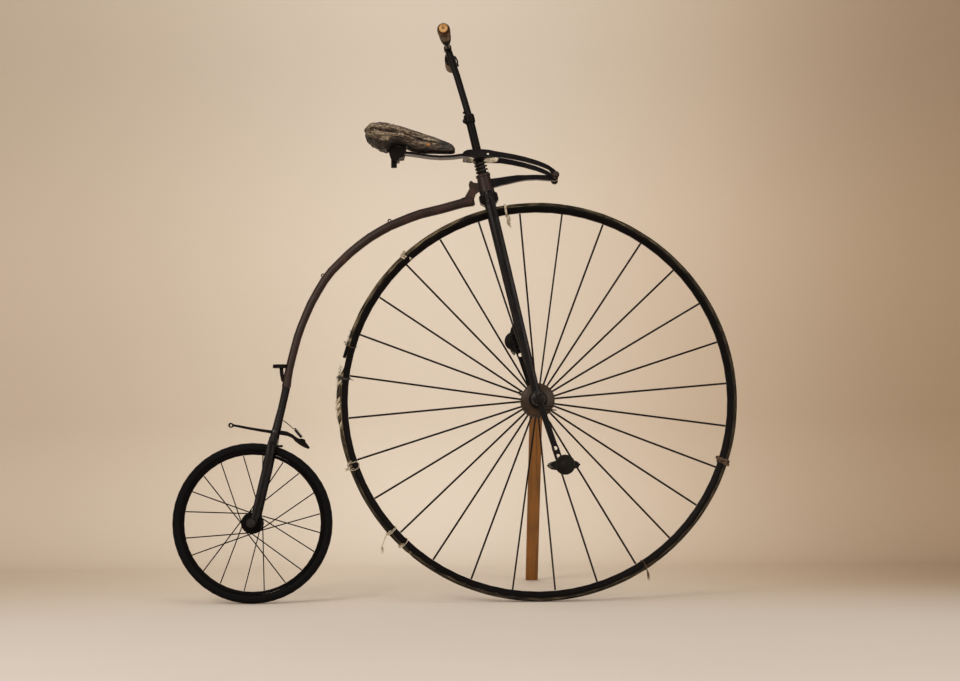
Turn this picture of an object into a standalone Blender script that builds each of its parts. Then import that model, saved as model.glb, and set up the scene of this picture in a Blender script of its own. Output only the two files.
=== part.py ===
"""An iron velocipede with a large front wheel and a small rear one, leaning on a wooden prop.

The machine is built upright with the front axle above the origin, +X forward and +Y to the
rider's left, and then leaned about the X axis by its root empty. Sizes are in metres.
"""

import math

import bmesh
import bpy
from mathutils import Matrix, Vector

# Sizes that drive the machine.
LEAN = math.radians(4.5)
RAKE = math.radians(13.0)
FIT_GAP = 0.0003
RUN_GAP = 0.0005

# Front wheel.
FRONT_RADIUS = 0.508
FRONT_TYRE_WIDTH = 0.022
FRONT_TYRE_DEPTH = 0.0100
FRONT_RIM_DEPTH = 0.0150
FRONT_RIM_WIDTH = 0.024
FRONT_STEPS = 72
FRONT_SPOKES = 28
FRONT_SPOKE_RADIUS = 0.0025
FRONT_SPOKE_START = math.radians(4.8)
FRONT_SPOKE_Y = 0.036
HUB_RADIUS = 0.043
HUB_HALF = 0.047
AXLE_RADIUS = 0.010
AXLE_RIGHT_END = 0.106
AXLE_LEFT_END = 0.172

# Rear wheel.
REAR_RADIUS = FRONT_RADIUS * 0.4
WHEEL_GAP = 0.07563
WHEELBASE = math.sqrt((FRONT_RADIUS + REAR_RADIUS + WHEEL_GAP) ** 2 - (FRONT_RADIUS - REAR_RADIUS) ** 2)
REAR_TYRE_CLEARANCE = 0.0052
REAR_TYRE_WIDTH = 0.024
REAR_TYRE_DEPTH = 0.0220
REAR_RIM_DEPTH = 0.0080
REAR_RIM_WIDTH = 0.022
REAR_STEPS = 48
REAR_SPOKE_RADIUS = 0.0015
REAR_SPOKE_TANGENT = 0.024
REAR_HUB_FLANGE = 0.027
REAR_HUB_BARREL = 0.014
REAR_HUB_HALF = 0.025
REAR_FLANGE_IN = 0.017
REAR_FLANGE_OUT = 0.0252
REAR_SPOKE_Y = 0.0211
REAR_SPOKE_SPLIT = 0.0018
REAR_AXLE_RADIUS = 0.006
REAR_AXLE_END = 0.052
REAR_NUT_RADIUS = 0.011
REAR_NUT_LENGTH = 0.010
REAR_SPOKE_DEGREES_IN = (7.4, 25.8, 81.0, 97.8, 152.0, 169.8, 224.0, 241.6, 299.0, 316.2)
REAR_SPOKE_DEGREES_OUT = (46.6, 63.2, 117.4, 135.8, 192.2, 207.4, 263.0, 279.8, 335.0, 351.6)

# Cranks and pedals, in each crank's own frame: x along the arm, z outward from the wheel.
CRANK_ANGLE = math.radians(-71.7)
CRANK_LENGTH = 0.177
CRANK_TIP_BEYOND = 0.011
CRANK_WIDTH = 0.0155
CRANK_END_WIDTH = 0.018
CRANK_IN = 0.096
CRANK_OUT = 0.106
BOSS_RADIUS = 0.0178
BOSS_IN = 0.0775
BOSS_OUT = 0.112
HOLE_RADIUS = 0.005
HOLE_SHARES = (0.740, 0.8565)
PIN_RADIUS = 0.006
PIN_END = 0.196
PEDAL_IN = 0.114
PEDAL_SKEW = math.radians(4.0)
PEDAL_OUT = 0.203
PEDAL_PLATE = 0.006
PEDAL_HALF_WIDTH = 0.038
PEDAL_HALF_HEIGHT = 0.0115
PEDAL_DISC = 0.025
PEDAL_BARREL = 0.011
PEDAL_BOSS = 0.010
PEDAL_BLOCK_X = 0.027
PEDAL_BLOCK_WIDTH = 0.014
PEDAL_BLOCK_HEIGHT = 0.012
PEDAL_BORE = 0.0065

# Steering parts, placed by their distance up the steering axis from the front axle, which
# follows the front wheel.
CROWN_LOW = FRONT_RADIUS * 1.01575
CROWN_HIGH = FRONT_RADIUS * 1.08071
CROWN_LENGTH = 0.048
CROWN_WIDTH = 0.058
CROWN_BEVEL = 0.009
HEAD_LOW = FRONT_RADIUS * 1.08169
HEAD_HIGH = FRONT_RADIUS * 1.17520
HEAD_RADIUS_LOW = 0.0195
HEAD_RADIUS_HIGH = 0.0172
HEAD_LIP = 0.0188
HEAD_LIP_HEIGHT = 0.006
STEM_RADIUS = 0.011
STEM_TOP = FRONT_RADIUS * 1.46654
COIL_LOW = FRONT_RADIUS * 1.17618
COIL_HIGH = FRONT_RADIUS * 1.24705
COIL_RADIUS = 0.0145
COIL_WIRE = 0.0024
COIL_TURNS = 3.5
SEAT_HIGH = FRONT_RADIUS * 1.26476
SEAT_RADIUS = 0.0155
COLLAR_LOW = FRONT_RADIUS * 1.44291
COLLAR_HIGH = FRONT_RADIUS * 1.49016
COLLAR_RADIUS = 0.0140
COLLAR_BALL = 0.007
COLLAR_BALL_DROP = 0.0026
POST_KNOB = 0.004
POST_RADIUS = 0.0088
BLADE_WIDTH_LOW = 0.020
BLADE_WIDTH_HIGH = 0.027
BLADE_FLAT = 0.55
BLADE_TOP_Y = 0.0355
BLADE_LOW_Y = 0.061
END_RADIUS = 0.023
END_IN = 0.050
END_OUT = 0.072
END_BORE = 0.0105

# Handlebar.
BAR_RADIUS = 0.0068
BAR_END_RADIUS = 0.008
BAR_END_Y = 0.225
BAR_SKEW = 0.0073
BAR_TILT = 0.0035
BAR_EYE_RADIUS = 0.0098
BAR_EYE_HALF = 0.016
GRIP_IN_Y = 0.1075
GRIP_OUT_Y = 0.240
GRIP_WIDE = 0.0165
GRIP_NARROW = 0.0118
GRIP_FACE = 0.0110
HOOK_RADIUS = 0.002

# Frame.
BACKBONE_RADIUS = 0.0122
LUG_THICKNESS = 0.016
SPRING_ARM_THICKNESS = 0.020
SPRING_Y = 0.048
SPRING_ARM_WIDTH = 0.007
SPRING_LEAF_WIDTH = 0.045
SPRING_HOLE = 0.003
BOLT_RADIUS = 0.0045
BOLT_BALL = 0.0092
BOLT_HALF = 0.058
CLAMP_WIDTH = 0.056
LEAF_THICKNESS = 0.006
REAR_NECK_RADIUS = 0.0112
REAR_CROWN_WIDTH = 0.038
REAR_BLADE_RADIUS = 0.0115
REAR_BLADE_FLAT = 0.42
REAR_BLADE_TOP_Y = 0.0242
REAR_BLADE_LOW_Y = 0.0335
REAR_EYE_RADIUS = 0.0135
REAR_EYE_IN = 0.029
REAR_EYE_OUT = 0.038
LEVER_THICKNESS = 0.006
LEVER_SLOT = 0.0066
SHOE_WIDTH = 0.028
PIVOT_RADIUS = 0.003
PIVOT_HEAD = 0.0062
PIVOT_HALF = 0.021
STEP_RADIUS = 0.0194
STEP_THICKNESS = 0.0083
STEP_POST_RADIUS = 0.005
PEG_RADIUS = 0.003
PEG_LENGTH = 0.022
EYELET_RADIUS = 0.0055
EYELET_WIRE = 0.0016
BRAKE_COIL_RADIUS = 0.0034
BRAKE_COIL_WIRE = 0.0011
BRAKE_COIL_TURNS = 9

# Prop.
PROP_FOOT_X = -0.008
PROP_FOOT_Y = 0.548
FLOOR_DROP = 0.00026
PROP_TOP_REACH = 0.150
PROP_WIDTH = 0.033
PROP_THICKNESS = 0.028

# Finishes, and the angle past which an edge stays sharp.
SHARP_ANGLE = math.radians(40)
IRON_BLACK = (0.022, 0.020, 0.020)
IRON_BROWN = (0.036, 0.021, 0.016)
IRON_BARE = (0.16, 0.10, 0.07)
IRON_GREY = (0.10, 0.095, 0.09)
RUBBER_OLD = (0.07, 0.045, 0.033)
RUBBER_BLACK = (0.012, 0.011, 0.011)
HORN = (0.40, 0.27, 0.15)
LEATHER = (0.055, 0.028, 0.016)
WOOD = (0.35, 0.15, 0.055)

# Side outlines: x as a share of the wheelbase, z as a share of the front wheel's diameter.
BACKBONE_SHARES = (
    (-0.2219, 1.0044), (-0.2578, 1.0005), (-0.2826, 0.9956), (-0.3102, 0.9902), (-0.3364, 0.9852),
    (-0.3722, 0.9793), (-0.4067, 0.9734), (-0.4425, 0.9646), (-0.4770, 0.9547), (-0.5142, 0.9439),
    (-0.5473, 0.9311), (-0.5845, 0.9154), (-0.6203, 0.8967), (-0.6562, 0.8760), (-0.6907, 0.8524),
    (-0.7210, 0.8307), (-0.7472, 0.8061), (-0.7706, 0.7785), (-0.7927, 0.7500), (-0.8106, 0.7215),
    (-0.8271, 0.6929), (-0.8409, 0.6654), (-0.8519, 0.6368), (-0.8616, 0.6102), (-0.8699, 0.5856),
    (-0.8768, 0.5610), (-0.8809, 0.5394),
)
BACKBONE_RADIUS_SHARES = (1.0, 1.0, 1.0, 1.0, 1.0, 1.0, 1.0, 0.99, 0.98, 0.97, 0.96, 0.95, 0.94, 0.92, 0.91, 0.90, 0.89, 0.88, 0.87, 0.86, 0.85, 0.85, 0.85, 0.85, 0.85, 0.9, 0.95)
LUG_SHARES = (
    (-0.1889, 1.0541), (-0.2087, 1.0502), (-0.2185, 1.0517), (-0.2251, 1.0561), (-0.2323, 1.0541),
    (-0.2355, 1.0461), (-0.2324, 1.0362), (-0.2425, 1.0235), (-0.2495, 1.0151), (-0.2619, 1.0118),
    (-0.2619, 1.0059), (-0.2213, 0.9931), (-0.2133, 0.9961), (-0.2167, 1.0107), (-0.2106, 1.0231),
    (-0.2020, 1.0281), (-0.1737, 1.0325),
)
SPRING_BAR_SHARES = (
    (-0.1654, 1.0600), (-0.1296, 1.0630), (-0.0979, 1.0664), (-0.0648, 1.0694), (-0.0317, 1.0694),
    (0.0028, 1.0699), (0.0414, 1.0689), (0.0703, 1.0717), (0.0786, 1.0684), (0.0813, 1.0630),
    (0.0786, 1.0576), (0.0703, 1.0543), (0.0414, 1.0561), (0.0028, 1.0581), (-0.0317, 1.0571),
    (-0.0648, 1.0531), (-0.0979, 1.0477), (-0.1296, 1.0423), (-0.1654, 1.0354),
)
ARM_TOP_SHARES = (
    (-0.2564, 1.1191), (-0.2509, 1.1240), (-0.2399, 1.1280), (-0.2206, 1.1294), (-0.1847, 1.1294),
    (-0.1627, 1.1280), (-0.1420, 1.1245), (-0.1213, 1.1220), (-0.0800, 1.1166), (-0.0386, 1.1097),
    (0.0041, 1.1004), (0.0248, 1.0945), (0.0455, 1.0876), (0.0648, 1.0778), (0.0772, 1.0694),
    (0.0813, 1.0630),
)
ARM_LOW_SHARES = (
    (0.0779, 1.0576), (0.0703, 1.0546), (0.0627, 1.0566), (0.0586, 1.0635), (0.0455, 1.0763),
    (0.0248, 1.0827), (0.0041, 1.0881), (-0.0386, 1.0969), (-0.0800, 1.1033), (-0.1213, 1.1083),
    (-0.1627, 1.1093), (-0.2316, 1.1102), (-0.2564, 1.1122),
)
LEAF_SHARES = (
    (-0.2426, 1.1201), (-0.2619, 1.1201), (-0.2923, 1.1171), (-0.3350, 1.1161), (-0.3695, 1.1181),
    (-0.4053, 1.1220), (-0.4411, 1.1260), (-0.4756, 1.1280), (-0.5114, 1.1280),
)
BRIDGE_SHARES = (
    (-0.2399, 1.1270), (-0.2502, 1.1232), (-0.2550, 1.1191), (-0.2550, 1.1128), (-0.2399, 1.1114),
)
CLAMP_SHARES = (
    (-0.5149, 1.1417), (-0.4563, 1.1417), (-0.4551, 1.1358), (-0.4586, 1.1281), (-0.4622, 1.1206),
    (-0.4640, 1.1142), (-0.4800, 1.1130), (-0.4811, 1.1066), (-0.5045, 1.1067), (-0.5077, 1.1106),
    (-0.5112, 1.1183), (-0.5153, 1.1260),
)
REAR_NECK_SHARES = (
    (-0.8812, 0.5389), (-0.8837, 0.5285), (-0.8905, 0.5069), (-0.8974, 0.4852), (-0.9050, 0.4646),
    (-0.9119, 0.4439), (-0.9195, 0.4232), (-0.9257, 0.4045), (-0.9305, 0.3898),
)
REAR_NECK_RADIUS_SHARES = (0.95, 0.92, 0.90, 0.90, 0.94, 1.0, 1.05, 1.1, 1.0)
REAR_BLADE_SHARES = (
    (-0.9229, 0.4124), (-0.9264, 0.4026), (-0.9374, 0.3720), (-0.9498, 0.3278), (-0.9622, 0.2923),
    (-0.9746, 0.2539), (-0.9884, 0.2116), (-0.9939, 0.1998),
)
REAR_BLADE_WIDTH_SHARES = (0.75, 1.0, 1.0, 0.95, 0.92, 0.9, 0.88, 0.86)
LEVER_TOP_SHARES = (
    (-1.0852, 0.4447), (-1.0824, 0.4494), (-1.0758, 0.4514), (-1.0692, 0.4494), (-1.0648, 0.4471),
    (-1.0407, 0.4442), (-1.0187, 0.4409), (-0.9748, 0.4356), (-0.9398, 0.4320), (-0.9002, 0.4308),
    (-0.8783, 0.4281), (-0.8608, 0.4216), (-0.8433, 0.4123), (-0.8326, 0.4093), (-0.8256, 0.4106),
    (-0.8147, 0.4069), (-0.8140, 0.4016), (-0.8038, 0.3924), (-0.7994, 0.3880),
)
LEVER_LOW_SHARES = (
    (-0.8038, 0.3840), (-0.8169, 0.3871), (-0.8344, 0.3944), (-0.8499, 0.4030), (-0.8608, 0.4115),
    (-0.8783, 0.4169), (-0.9024, 0.4197), (-0.9112, 0.4199), (-0.9278, 0.4205), (-0.9398, 0.4241),
    (-0.9748, 0.4284), (-1.0187, 0.4344), (-1.0407, 0.4379), (-1.0648, 0.4415), (-1.0692, 0.4398),
    (-1.0758, 0.4380), (-1.0824, 0.4400),
)
SHOE_SHARES = (
    (-0.8464, 0.4060), (-0.8313, 0.4026), (-0.8189, 0.3962), (-0.8051, 0.3887), (-0.8004, 0.3876),
    (-0.8038, 0.3840), (-0.8169, 0.3871), (-0.8344, 0.3944), (-0.8499, 0.4030),
)
BRAKE_SPRING_SHARES = (
    (-0.8506, 0.4334), (-0.8280, 0.4134),
)
BRAKE_WIRE_SHARES = (
    (-0.8925, 0.4558), (-0.8783, 0.4485), (-0.8672, 0.4422), (-0.8586, 0.4355), (-0.8519, 0.4316),
)
STEP_POST_SHARES = (
    (-0.8981, 0.5891), (-0.8977, 0.5806), (-0.8965, 0.5712), (-0.8939, 0.5617), (-0.8908, 0.5538),
)
HOOK_SHARES = (
    (-0.2818, 1.3760), (-0.2764, 1.3701), (-0.2716, 1.3632), (-0.2716, 1.3563), (-0.2688, 1.3494),
)
POST_SHARES = (
    (-0.2313, 1.2153), (-0.2360, 1.2298), (-0.2419, 1.2451), (-0.2509, 1.2677), (-0.2605, 1.2913),
    (-0.2738, 1.3242), (-0.2854, 1.3499), (-0.2964, 1.3740), (-0.3052, 1.3937),
)
SADDLE_STATION_SHARES = (-0.5969, -0.5859, -0.5624, -0.5238, -0.4756, -0.4205, -0.3653, -0.3198, -0.2923, -0.2805)
SADDLE_TOP_SHARES = (1.1845, 1.1993, 1.2072, 1.2062, 1.1954, 1.1836, 1.1708, 1.1585, 1.1496, 1.1403)
SADDLE_LOW_SHARES = (1.1732, 1.1580, 1.1417, 1.1314, 1.1319, 1.1304, 1.1265, 1.1255, 1.1255, 1.1294)
SADDLE_WIDTH_SHARES = (0.0551, 0.0910, 0.1130, 0.1158, 0.0965, 0.0689, 0.0496, 0.0400, 0.0345, 0.0262)
SADDLE_SHOULDER_SHARE = 0.72
SADDLE_WAIST_SHARE = 0.86
SADDLE_POCKET = 0.0015
PLACE_SHARES = {
    "upper_eyelet": (-0.5156, 0.9567),
    "lower_eyelet": (-0.7513, 0.8199),
    "eye": (-1.0753, 0.4444),
    "pivot": (-0.9195, 0.4260),
    "bolt": (0.0703, 1.0630),
    "spring_hole": (-0.1668, 1.1176),
    "step": (-0.9016, 0.5916),
    "post_knob": (-0.2495, 1.2308),
    "bar": (-0.3060, 1.3947),
    "clamp_bolt": (-0.4990, 1.1102),
    "peg": (-0.9209, 0.3907),
}

HUB_HEIGHT = FRONT_RADIUS
REAR_HEIGHT = REAR_RADIUS
FRONT_DIAMETER = FRONT_RADIUS + FRONT_RADIUS

MACHINE = bpy.data.collections.new("velocipede")
CUTTERS = bpy.data.collections.new("velocipede_cutters")


def clear_scene():
    for old in list(bpy.data.objects):
        bpy.data.objects.remove(old, do_unlink=True)
    bpy.context.scene.collection.children.link(MACHINE)
    bpy.context.scene.collection.children.link(CUTTERS)
    CUTTERS.hide_render = True


def side(share):
    """A point of the machine's middle plane from its share of the wheelbase and of the diameter."""
    return Vector((share[0] * WHEELBASE, 0, share[1] * FRONT_DIAMETER))


def side_points(shares, y=0.0):
    return [side(share) + Vector((0, y, 0)) for share in shares]


def add(name, data, matrix=None):
    obj = bpy.data.objects.new(name, data)
    MACHINE.objects.link(obj)
    if matrix is not None:
        obj.matrix_world = matrix
    return obj


def close_mesh(mesh):
    bm = bmesh.new()
    bm.from_mesh(mesh)
    bmesh.ops.remove_doubles(bm, verts=bm.verts, dist=1e-6)
    bmesh.ops.recalc_face_normals(bm, faces=bm.faces)
    bm.to_mesh(mesh)
    bm.free()


def fixed_mesh(source):
    """Replaces a curve or a modified object by its own closed mesh in the machine's space."""
    bpy.context.view_layer.update()
    graph = bpy.context.evaluated_depsgraph_get()
    shape = source.evaluated_get(graph)
    mesh = bpy.data.meshes.new_from_object(shape)
    mesh.transform(source.matrix_world)
    name = source.name
    bpy.data.objects.remove(source, do_unlink=True)
    close_mesh(mesh)
    mesh.name = name
    return add(name, mesh)


def bar(name, points, radius, shares=None, flat=1.0, resolution=2):
    """A rod along a run of points; flat squeezes its section sideways."""
    curve = bpy.data.curves.new(name, "CURVE")
    curve.dimensions = "3D"
    curve.bevel_depth = radius
    curve.bevel_resolution = resolution
    curve.use_fill_caps = True
    curve.twist_mode = "Z_UP"
    spline = curve.splines.new("POLY")
    spline.points.add(len(points) - 1)
    for index, point in enumerate(points):
        spline.points[index].co = (point[0], point[1] / flat, point[2], 1)
        spline.points[index].radius = shares[index] if shares else 1
    obj = add(name, curve)
    obj.scale = (1, flat, 1)
    return fixed_mesh(obj)


def plate(name, outline, thickness, y=0.0):
    """A flat plate: an outline of side places, as thick as given, centred on y."""
    curve = bpy.data.curves.new(name, "CURVE")
    curve.dimensions = "2D"
    curve.fill_mode = "BOTH"
    curve.extrude = thickness / 2
    spline = curve.splines.new("POLY")
    spline.points.add(len(outline) - 1)
    spline.use_cyclic_u = True
    for index, point in enumerate(outline):
        spline.points[index].co = (point[0], point[2], 0, 1)
    turn = Matrix.Translation((0, y, 0)) @ Matrix.Rotation(math.pi / 2, 4, "X")
    return fixed_mesh(add(name, curve, turn))


def local_plate(name, outline, low, high, matrix):
    """A flat plate in its own frame between two heights of z."""
    curve = bpy.data.curves.new(name, "CURVE")
    curve.dimensions = "2D"
    curve.fill_mode = "BOTH"
    curve.extrude = (high - low) / 2
    spline = curve.splines.new("POLY")
    spline.points.add(len(outline) - 1)
    spline.use_cyclic_u = True
    for index, point in enumerate(outline):
        spline.points[index].co = (point[0], point[1], 0, 1)
    lift = Matrix.Translation((0, 0, (low + high) / 2))
    return fixed_mesh(add(name, curve, matrix @ lift))


def turned(name, profile, steps, matrix, ring=False):
    """A turned piece: the profile of (radius, height) runs down its outer side, top to bottom."""
    bm = bmesh.new()
    points = [bm.verts.new((radius, 0, height)) for radius, height in profile]
    for first, second in zip(points, points[1:]):
        bm.edges.new((first, second))
    if ring:
        bm.edges.new((points[-1], points[0]))
    mesh = bpy.data.meshes.new(name)
    bm.to_mesh(mesh)
    bm.free()
    obj = add(name, mesh, matrix)
    screw = obj.modifiers.new("turn", "SCREW")
    screw.steps = steps
    screw.render_steps = steps
    screw.use_merge_vertices = True
    screw.merge_threshold = 0.00005
    screw.use_normal_calculate = True
    return fixed_mesh(obj)


def cylinder(name, radius, start, end, steps=20, radius_end=None):
    """A rod or cone frustum between two points."""
    start = Vector(start)
    end = Vector(end)
    axis = end - start
    bm = bmesh.new()
    far = radius if radius_end is None else radius_end
    bmesh.ops.create_cone(bm, cap_ends=True, segments=steps, radius1=radius, radius2=far,
                          depth=axis.length)
    mesh = bpy.data.meshes.new(name)
    bm.to_mesh(mesh)
    bm.free()
    turn = axis.to_track_quat("Z", "Y").to_matrix().to_4x4()
    obj = add(name, mesh, Matrix.Translation((start + end) / 2) @ turn)
    return fixed_mesh(obj)


def ball(name, radius, centre, steps=10):
    bm = bmesh.new()
    bmesh.ops.create_uvsphere(bm, u_segments=steps, v_segments=steps // 2, radius=radius)
    mesh = bpy.data.meshes.new(name)
    bm.to_mesh(mesh)
    bm.free()
    return fixed_mesh(add(name, mesh, Matrix.Translation(centre)))


def block(name, size, matrix, bevel=0.0):
    bm = bmesh.new()
    bmesh.ops.create_cube(bm, size=1)
    bmesh.ops.scale(bm, vec=size, verts=bm.verts)
    mesh = bpy.data.meshes.new(name)
    bm.to_mesh(mesh)
    bm.free()
    obj = add(name, mesh, matrix)
    if bevel:
        edge = obj.modifiers.new("edge", "BEVEL")
        edge.width = bevel
        edge.segments = 1
    return fixed_mesh(obj)


def boolean(obj, tool, operation):
    """Adds or cuts a hidden helper; the helper stays in the cutters' collection."""
    step = obj.modifiers.new(operation.lower(), "BOOLEAN")
    step.operation = operation
    step.solver = "EXACT"
    step.object = tool
    if tool.name in MACHINE.objects:
        MACHINE.objects.unlink(tool)
        CUTTERS.objects.link(tool)
    tool.hide_render = True
    tool.display_type = "WIRE"
    return obj


def union(obj, *tools):
    for tool in tools:
        boolean(obj, tool, "UNION")
    return obj


def cut(obj, *tools):
    for tool in tools:
        boolean(obj, tool, "DIFFERENCE")
    return obj


def gathered(name, pieces):
    """Joins separate helpers that don't touch into one mesh."""
    bm = bmesh.new()
    for piece in pieces:
        bm.from_mesh(piece.data)
        bpy.data.objects.remove(piece, do_unlink=True)
    mesh = bpy.data.meshes.new(name)
    bm.to_mesh(mesh)
    bm.free()
    return add(name, mesh)


def finish(obj, body, colour, roughness, metallic):
    """Gives a piece its material, its soft edges and the body that carries it."""
    material = bpy.data.materials.new(obj.name)
    material.use_nodes = True
    surface = material.node_tree.nodes["Principled BSDF"]
    surface.inputs["Base Color"].default_value = (*colour, 1)
    surface.inputs["Roughness"].default_value = roughness
    surface.inputs["Metallic"].default_value = metallic
    obj.data.materials.clear()
    obj.data.materials.append(material)
    obj.data.shade_smooth()
    obj.data.set_sharp_from_angle(angle=SHARP_ANGLE)
    obj.parent = body
    obj.matrix_parent_inverse = body.matrix_world.inverted()
    return obj


def body_empty(name, matrix, parent=None):
    empty = bpy.data.objects.new(name, None)
    MACHINE.objects.link(empty)
    empty.empty_display_size = REAR_HUB_FLANGE
    empty.matrix_world = matrix
    bpy.context.view_layer.update()
    if parent:
        empty.parent = parent
        empty.matrix_parent_inverse = parent.matrix_world.inverted()
        bpy.context.view_layer.update()
    return empty


def across(x, z):
    """A frame whose z runs to the rider's left, for pieces turned about an axle."""
    return Matrix.Translation((x, 0, z)) @ Matrix.Rotation(-math.pi / 2, 4, "X")


def steering():
    """The steering frame: its origin on the front axle and its z up the raked head."""
    return Matrix.Translation((0, 0, HUB_HEIGHT)) @ Matrix.Rotation(-RAKE, 4, "Y")


def wheel_ring(name, radius, depth, width, shape, steps, x, z):
    """A ring whose section is listed as shares of its depth and half width, going round."""
    profile = [(radius - depth * deep, width / 2 * wide) for deep, wide in shape]
    return turned(name, profile, steps, across(x, z), ring=True)


TYRE_SHARES = ((0.97, 0.96), (0.35, 0.96), (0.0, 0.36), (0.0, -0.36), (0.35, -0.96), (0.97, -0.96))
REAR_TYRE_SHARES = ((0.986, 0.66), (0.65, 0.96), (0.32, 0.94), (0.08, 0.60), (0.0, 0.16),
                    (0.0, -0.16), (0.08, -0.60), (0.32, -0.94), (0.65, -0.96), (0.986, -0.66))
RIM_SHARES = ((0.0, -1.0), (0.0, 1.0), (0.30, 1.0), (1.0, 0.45), (1.0, -0.45), (0.30, -1.0))


def front_wheel(body):
    rim_radius = FRONT_RADIUS - FRONT_TYRE_DEPTH
    tyre = wheel_ring("front_tyre", FRONT_RADIUS, FRONT_TYRE_DEPTH, FRONT_TYRE_WIDTH,
                      TYRE_SHARES, FRONT_STEPS, 0, HUB_HEIGHT)
    finish(tyre, body, RUBBER_OLD, 0.8, 0.0)
    rim = wheel_ring("front_rim", rim_radius, FRONT_RIM_DEPTH, FRONT_RIM_WIDTH,
                     RIM_SHARES[::-1], FRONT_STEPS, 0, HUB_HEIGHT)
    finish(rim, body, IRON_BROWN, 0.5, 0.6)
    front_hub(body, rim_radius - FRONT_RIM_DEPTH)


def front_hub(body, spoke_end):
    half = HUB_HALF
    radius = HUB_RADIUS
    neck = AXLE_RADIUS
    profile = (
        (0, AXLE_LEFT_END), (neck * 0.85, AXLE_LEFT_END), (neck, AXLE_LEFT_END * 0.99), (neck, half),
        (radius * 0.55, half), (radius * 0.80, half * 0.95), (radius * 0.95, half * 0.88),
        (radius, half * 0.80), (radius, half * 0.68), (radius * 0.94, half * 0.50),
        (radius * 0.92, 0), (radius * 0.94, -half * 0.50), (radius, -half * 0.68),
        (radius, -half * 0.80), (radius * 0.95, -half * 0.88), (radius * 0.80, -half * 0.95),
        (radius * 0.55, -half), (neck, -half), (neck, -AXLE_RIGHT_END), (0, -AXLE_RIGHT_END))
    hub = turned("front_hub", profile, 32, across(0, HUB_HEIGHT))
    rods = []
    centre = Vector((0, 0, HUB_HEIGHT))
    for index in range(FRONT_SPOKES):
        angle = FRONT_SPOKE_START + index * math.tau / FRONT_SPOKES
        hand = -1 if index % 2 == 0 else 1
        out = Vector((math.cos(angle), 0, math.sin(angle)))
        low = centre + out * HUB_RADIUS * 0.80 + Vector((0, hand * FRONT_SPOKE_Y, 0))
        end = centre + out * (spoke_end * math.cos(math.pi / FRONT_STEPS) - FIT_GAP - FIT_GAP)
        end += Vector((0, hand * FRONT_SPOKE_RADIUS, 0))
        rods.append(cylinder(f"spoke_{index}", FRONT_SPOKE_RADIUS, low, end, steps=6))
    union(hub, gathered("front_spokes", rods))
    finish(hub, body, IRON_BARE, 0.4, 0.8)


def rear_wheel(body):
    rim_radius = REAR_RADIUS - REAR_TYRE_DEPTH
    tyre = wheel_ring("rear_tyre", REAR_RADIUS, REAR_TYRE_DEPTH, REAR_TYRE_WIDTH,
                      REAR_TYRE_SHARES, REAR_STEPS, -WHEELBASE, REAR_HEIGHT)
    finish(tyre, body, RUBBER_BLACK, 0.6, 0.0)
    rim = wheel_ring("rear_rim", rim_radius, REAR_RIM_DEPTH, REAR_RIM_WIDTH,
                     RIM_SHARES[::-1], REAR_STEPS, -WHEELBASE, REAR_HEIGHT)
    finish(rim, body, IRON_BLACK, 0.5, 0.5)
    rear_hub(body, rim_radius - REAR_RIM_DEPTH)


def rear_hub(body, spoke_end):
    half = REAR_HUB_HALF
    out = REAR_FLANGE_OUT
    inner = REAR_FLANGE_IN
    flange = REAR_HUB_FLANGE
    bore = REAR_AXLE_RADIUS + RUN_GAP
    profile = (
        (bore, half), (flange * 0.45, half), (flange, out * 0.96), (flange, inner),
        (REAR_HUB_BARREL, inner * 0.9), (REAR_HUB_BARREL, -inner * 0.9), (flange, -inner),
        (flange, -out * 0.96), (flange * 0.45, -half), (bore, -half))
    hub = turned("rear_hub", profile, 24, across(-WHEELBASE, REAR_HEIGHT), ring=True)
    rods = []
    for way, degrees in ((1, REAR_SPOKE_DEGREES_IN), (-1, REAR_SPOKE_DEGREES_OUT)):
        for index, degree in enumerate(degrees):
            hand = -1 if index % 2 == 0 else 1
            rods.append(rear_spoke(f"wire_{way}_{index}", math.radians(degree), way, hand, spoke_end))
    union(hub, gathered("rear_spokes", rods))
    finish(hub, body, IRON_BLACK, 0.45, 0.6)


def rear_spoke(name, angle, way, hand, reach):
    """One tangent wire: way 1 goes round the hub clockwise on its way in."""
    centre = Vector((-WHEELBASE, 0, REAR_HEIGHT))
    reach = reach * math.cos(math.pi / REAR_STEPS) - FIT_GAP - FIT_GAP
    swing = angle - way * math.acos(REAR_SPOKE_TANGENT / reach)
    start_y = hand * (REAR_SPOKE_Y + way * REAR_SPOKE_SPLIT)
    start = Vector((math.cos(swing), 0, math.sin(swing))) * REAR_SPOKE_TANGENT
    end = Vector((math.cos(angle), 0, math.sin(angle))) * reach
    start += Vector((0, start_y, 0))
    end += Vector((0, hand * (REAR_SPOKE_RADIUS + REAR_SPOKE_RADIUS), 0))
    return cylinder(name, REAR_SPOKE_RADIUS, centre + start, centre + end, steps=6)


def crank_frame(hand):
    """hand 1 is the right crank, toward the viewer of the right side; -1 is the left one."""
    angle = CRANK_ANGLE if hand == 1 else CRANK_ANGLE + math.pi
    along = Vector((math.cos(angle), 0, math.sin(angle)))
    out = Vector((0, -hand, 0))
    up = out.cross(along)
    frame = Matrix((along, up, out)).transposed().to_4x4()
    return Matrix.Translation((0, 0, HUB_HEIGHT)) @ frame


def pedal_frame(hand):
    """The spindle's frame at the crank's end; the right one is bent forward at its outer end."""
    straight = crank_frame(hand) @ Matrix.Translation((CRANK_LENGTH, 0, 0))
    root = straight @ Vector((0, 0, CRANK_OUT))
    bend = Matrix.Rotation(PEDAL_SKEW if hand == 1 else 0, 4, "Z")
    return Matrix.Translation(root) @ bend @ Matrix.Translation(-root) @ straight


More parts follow.
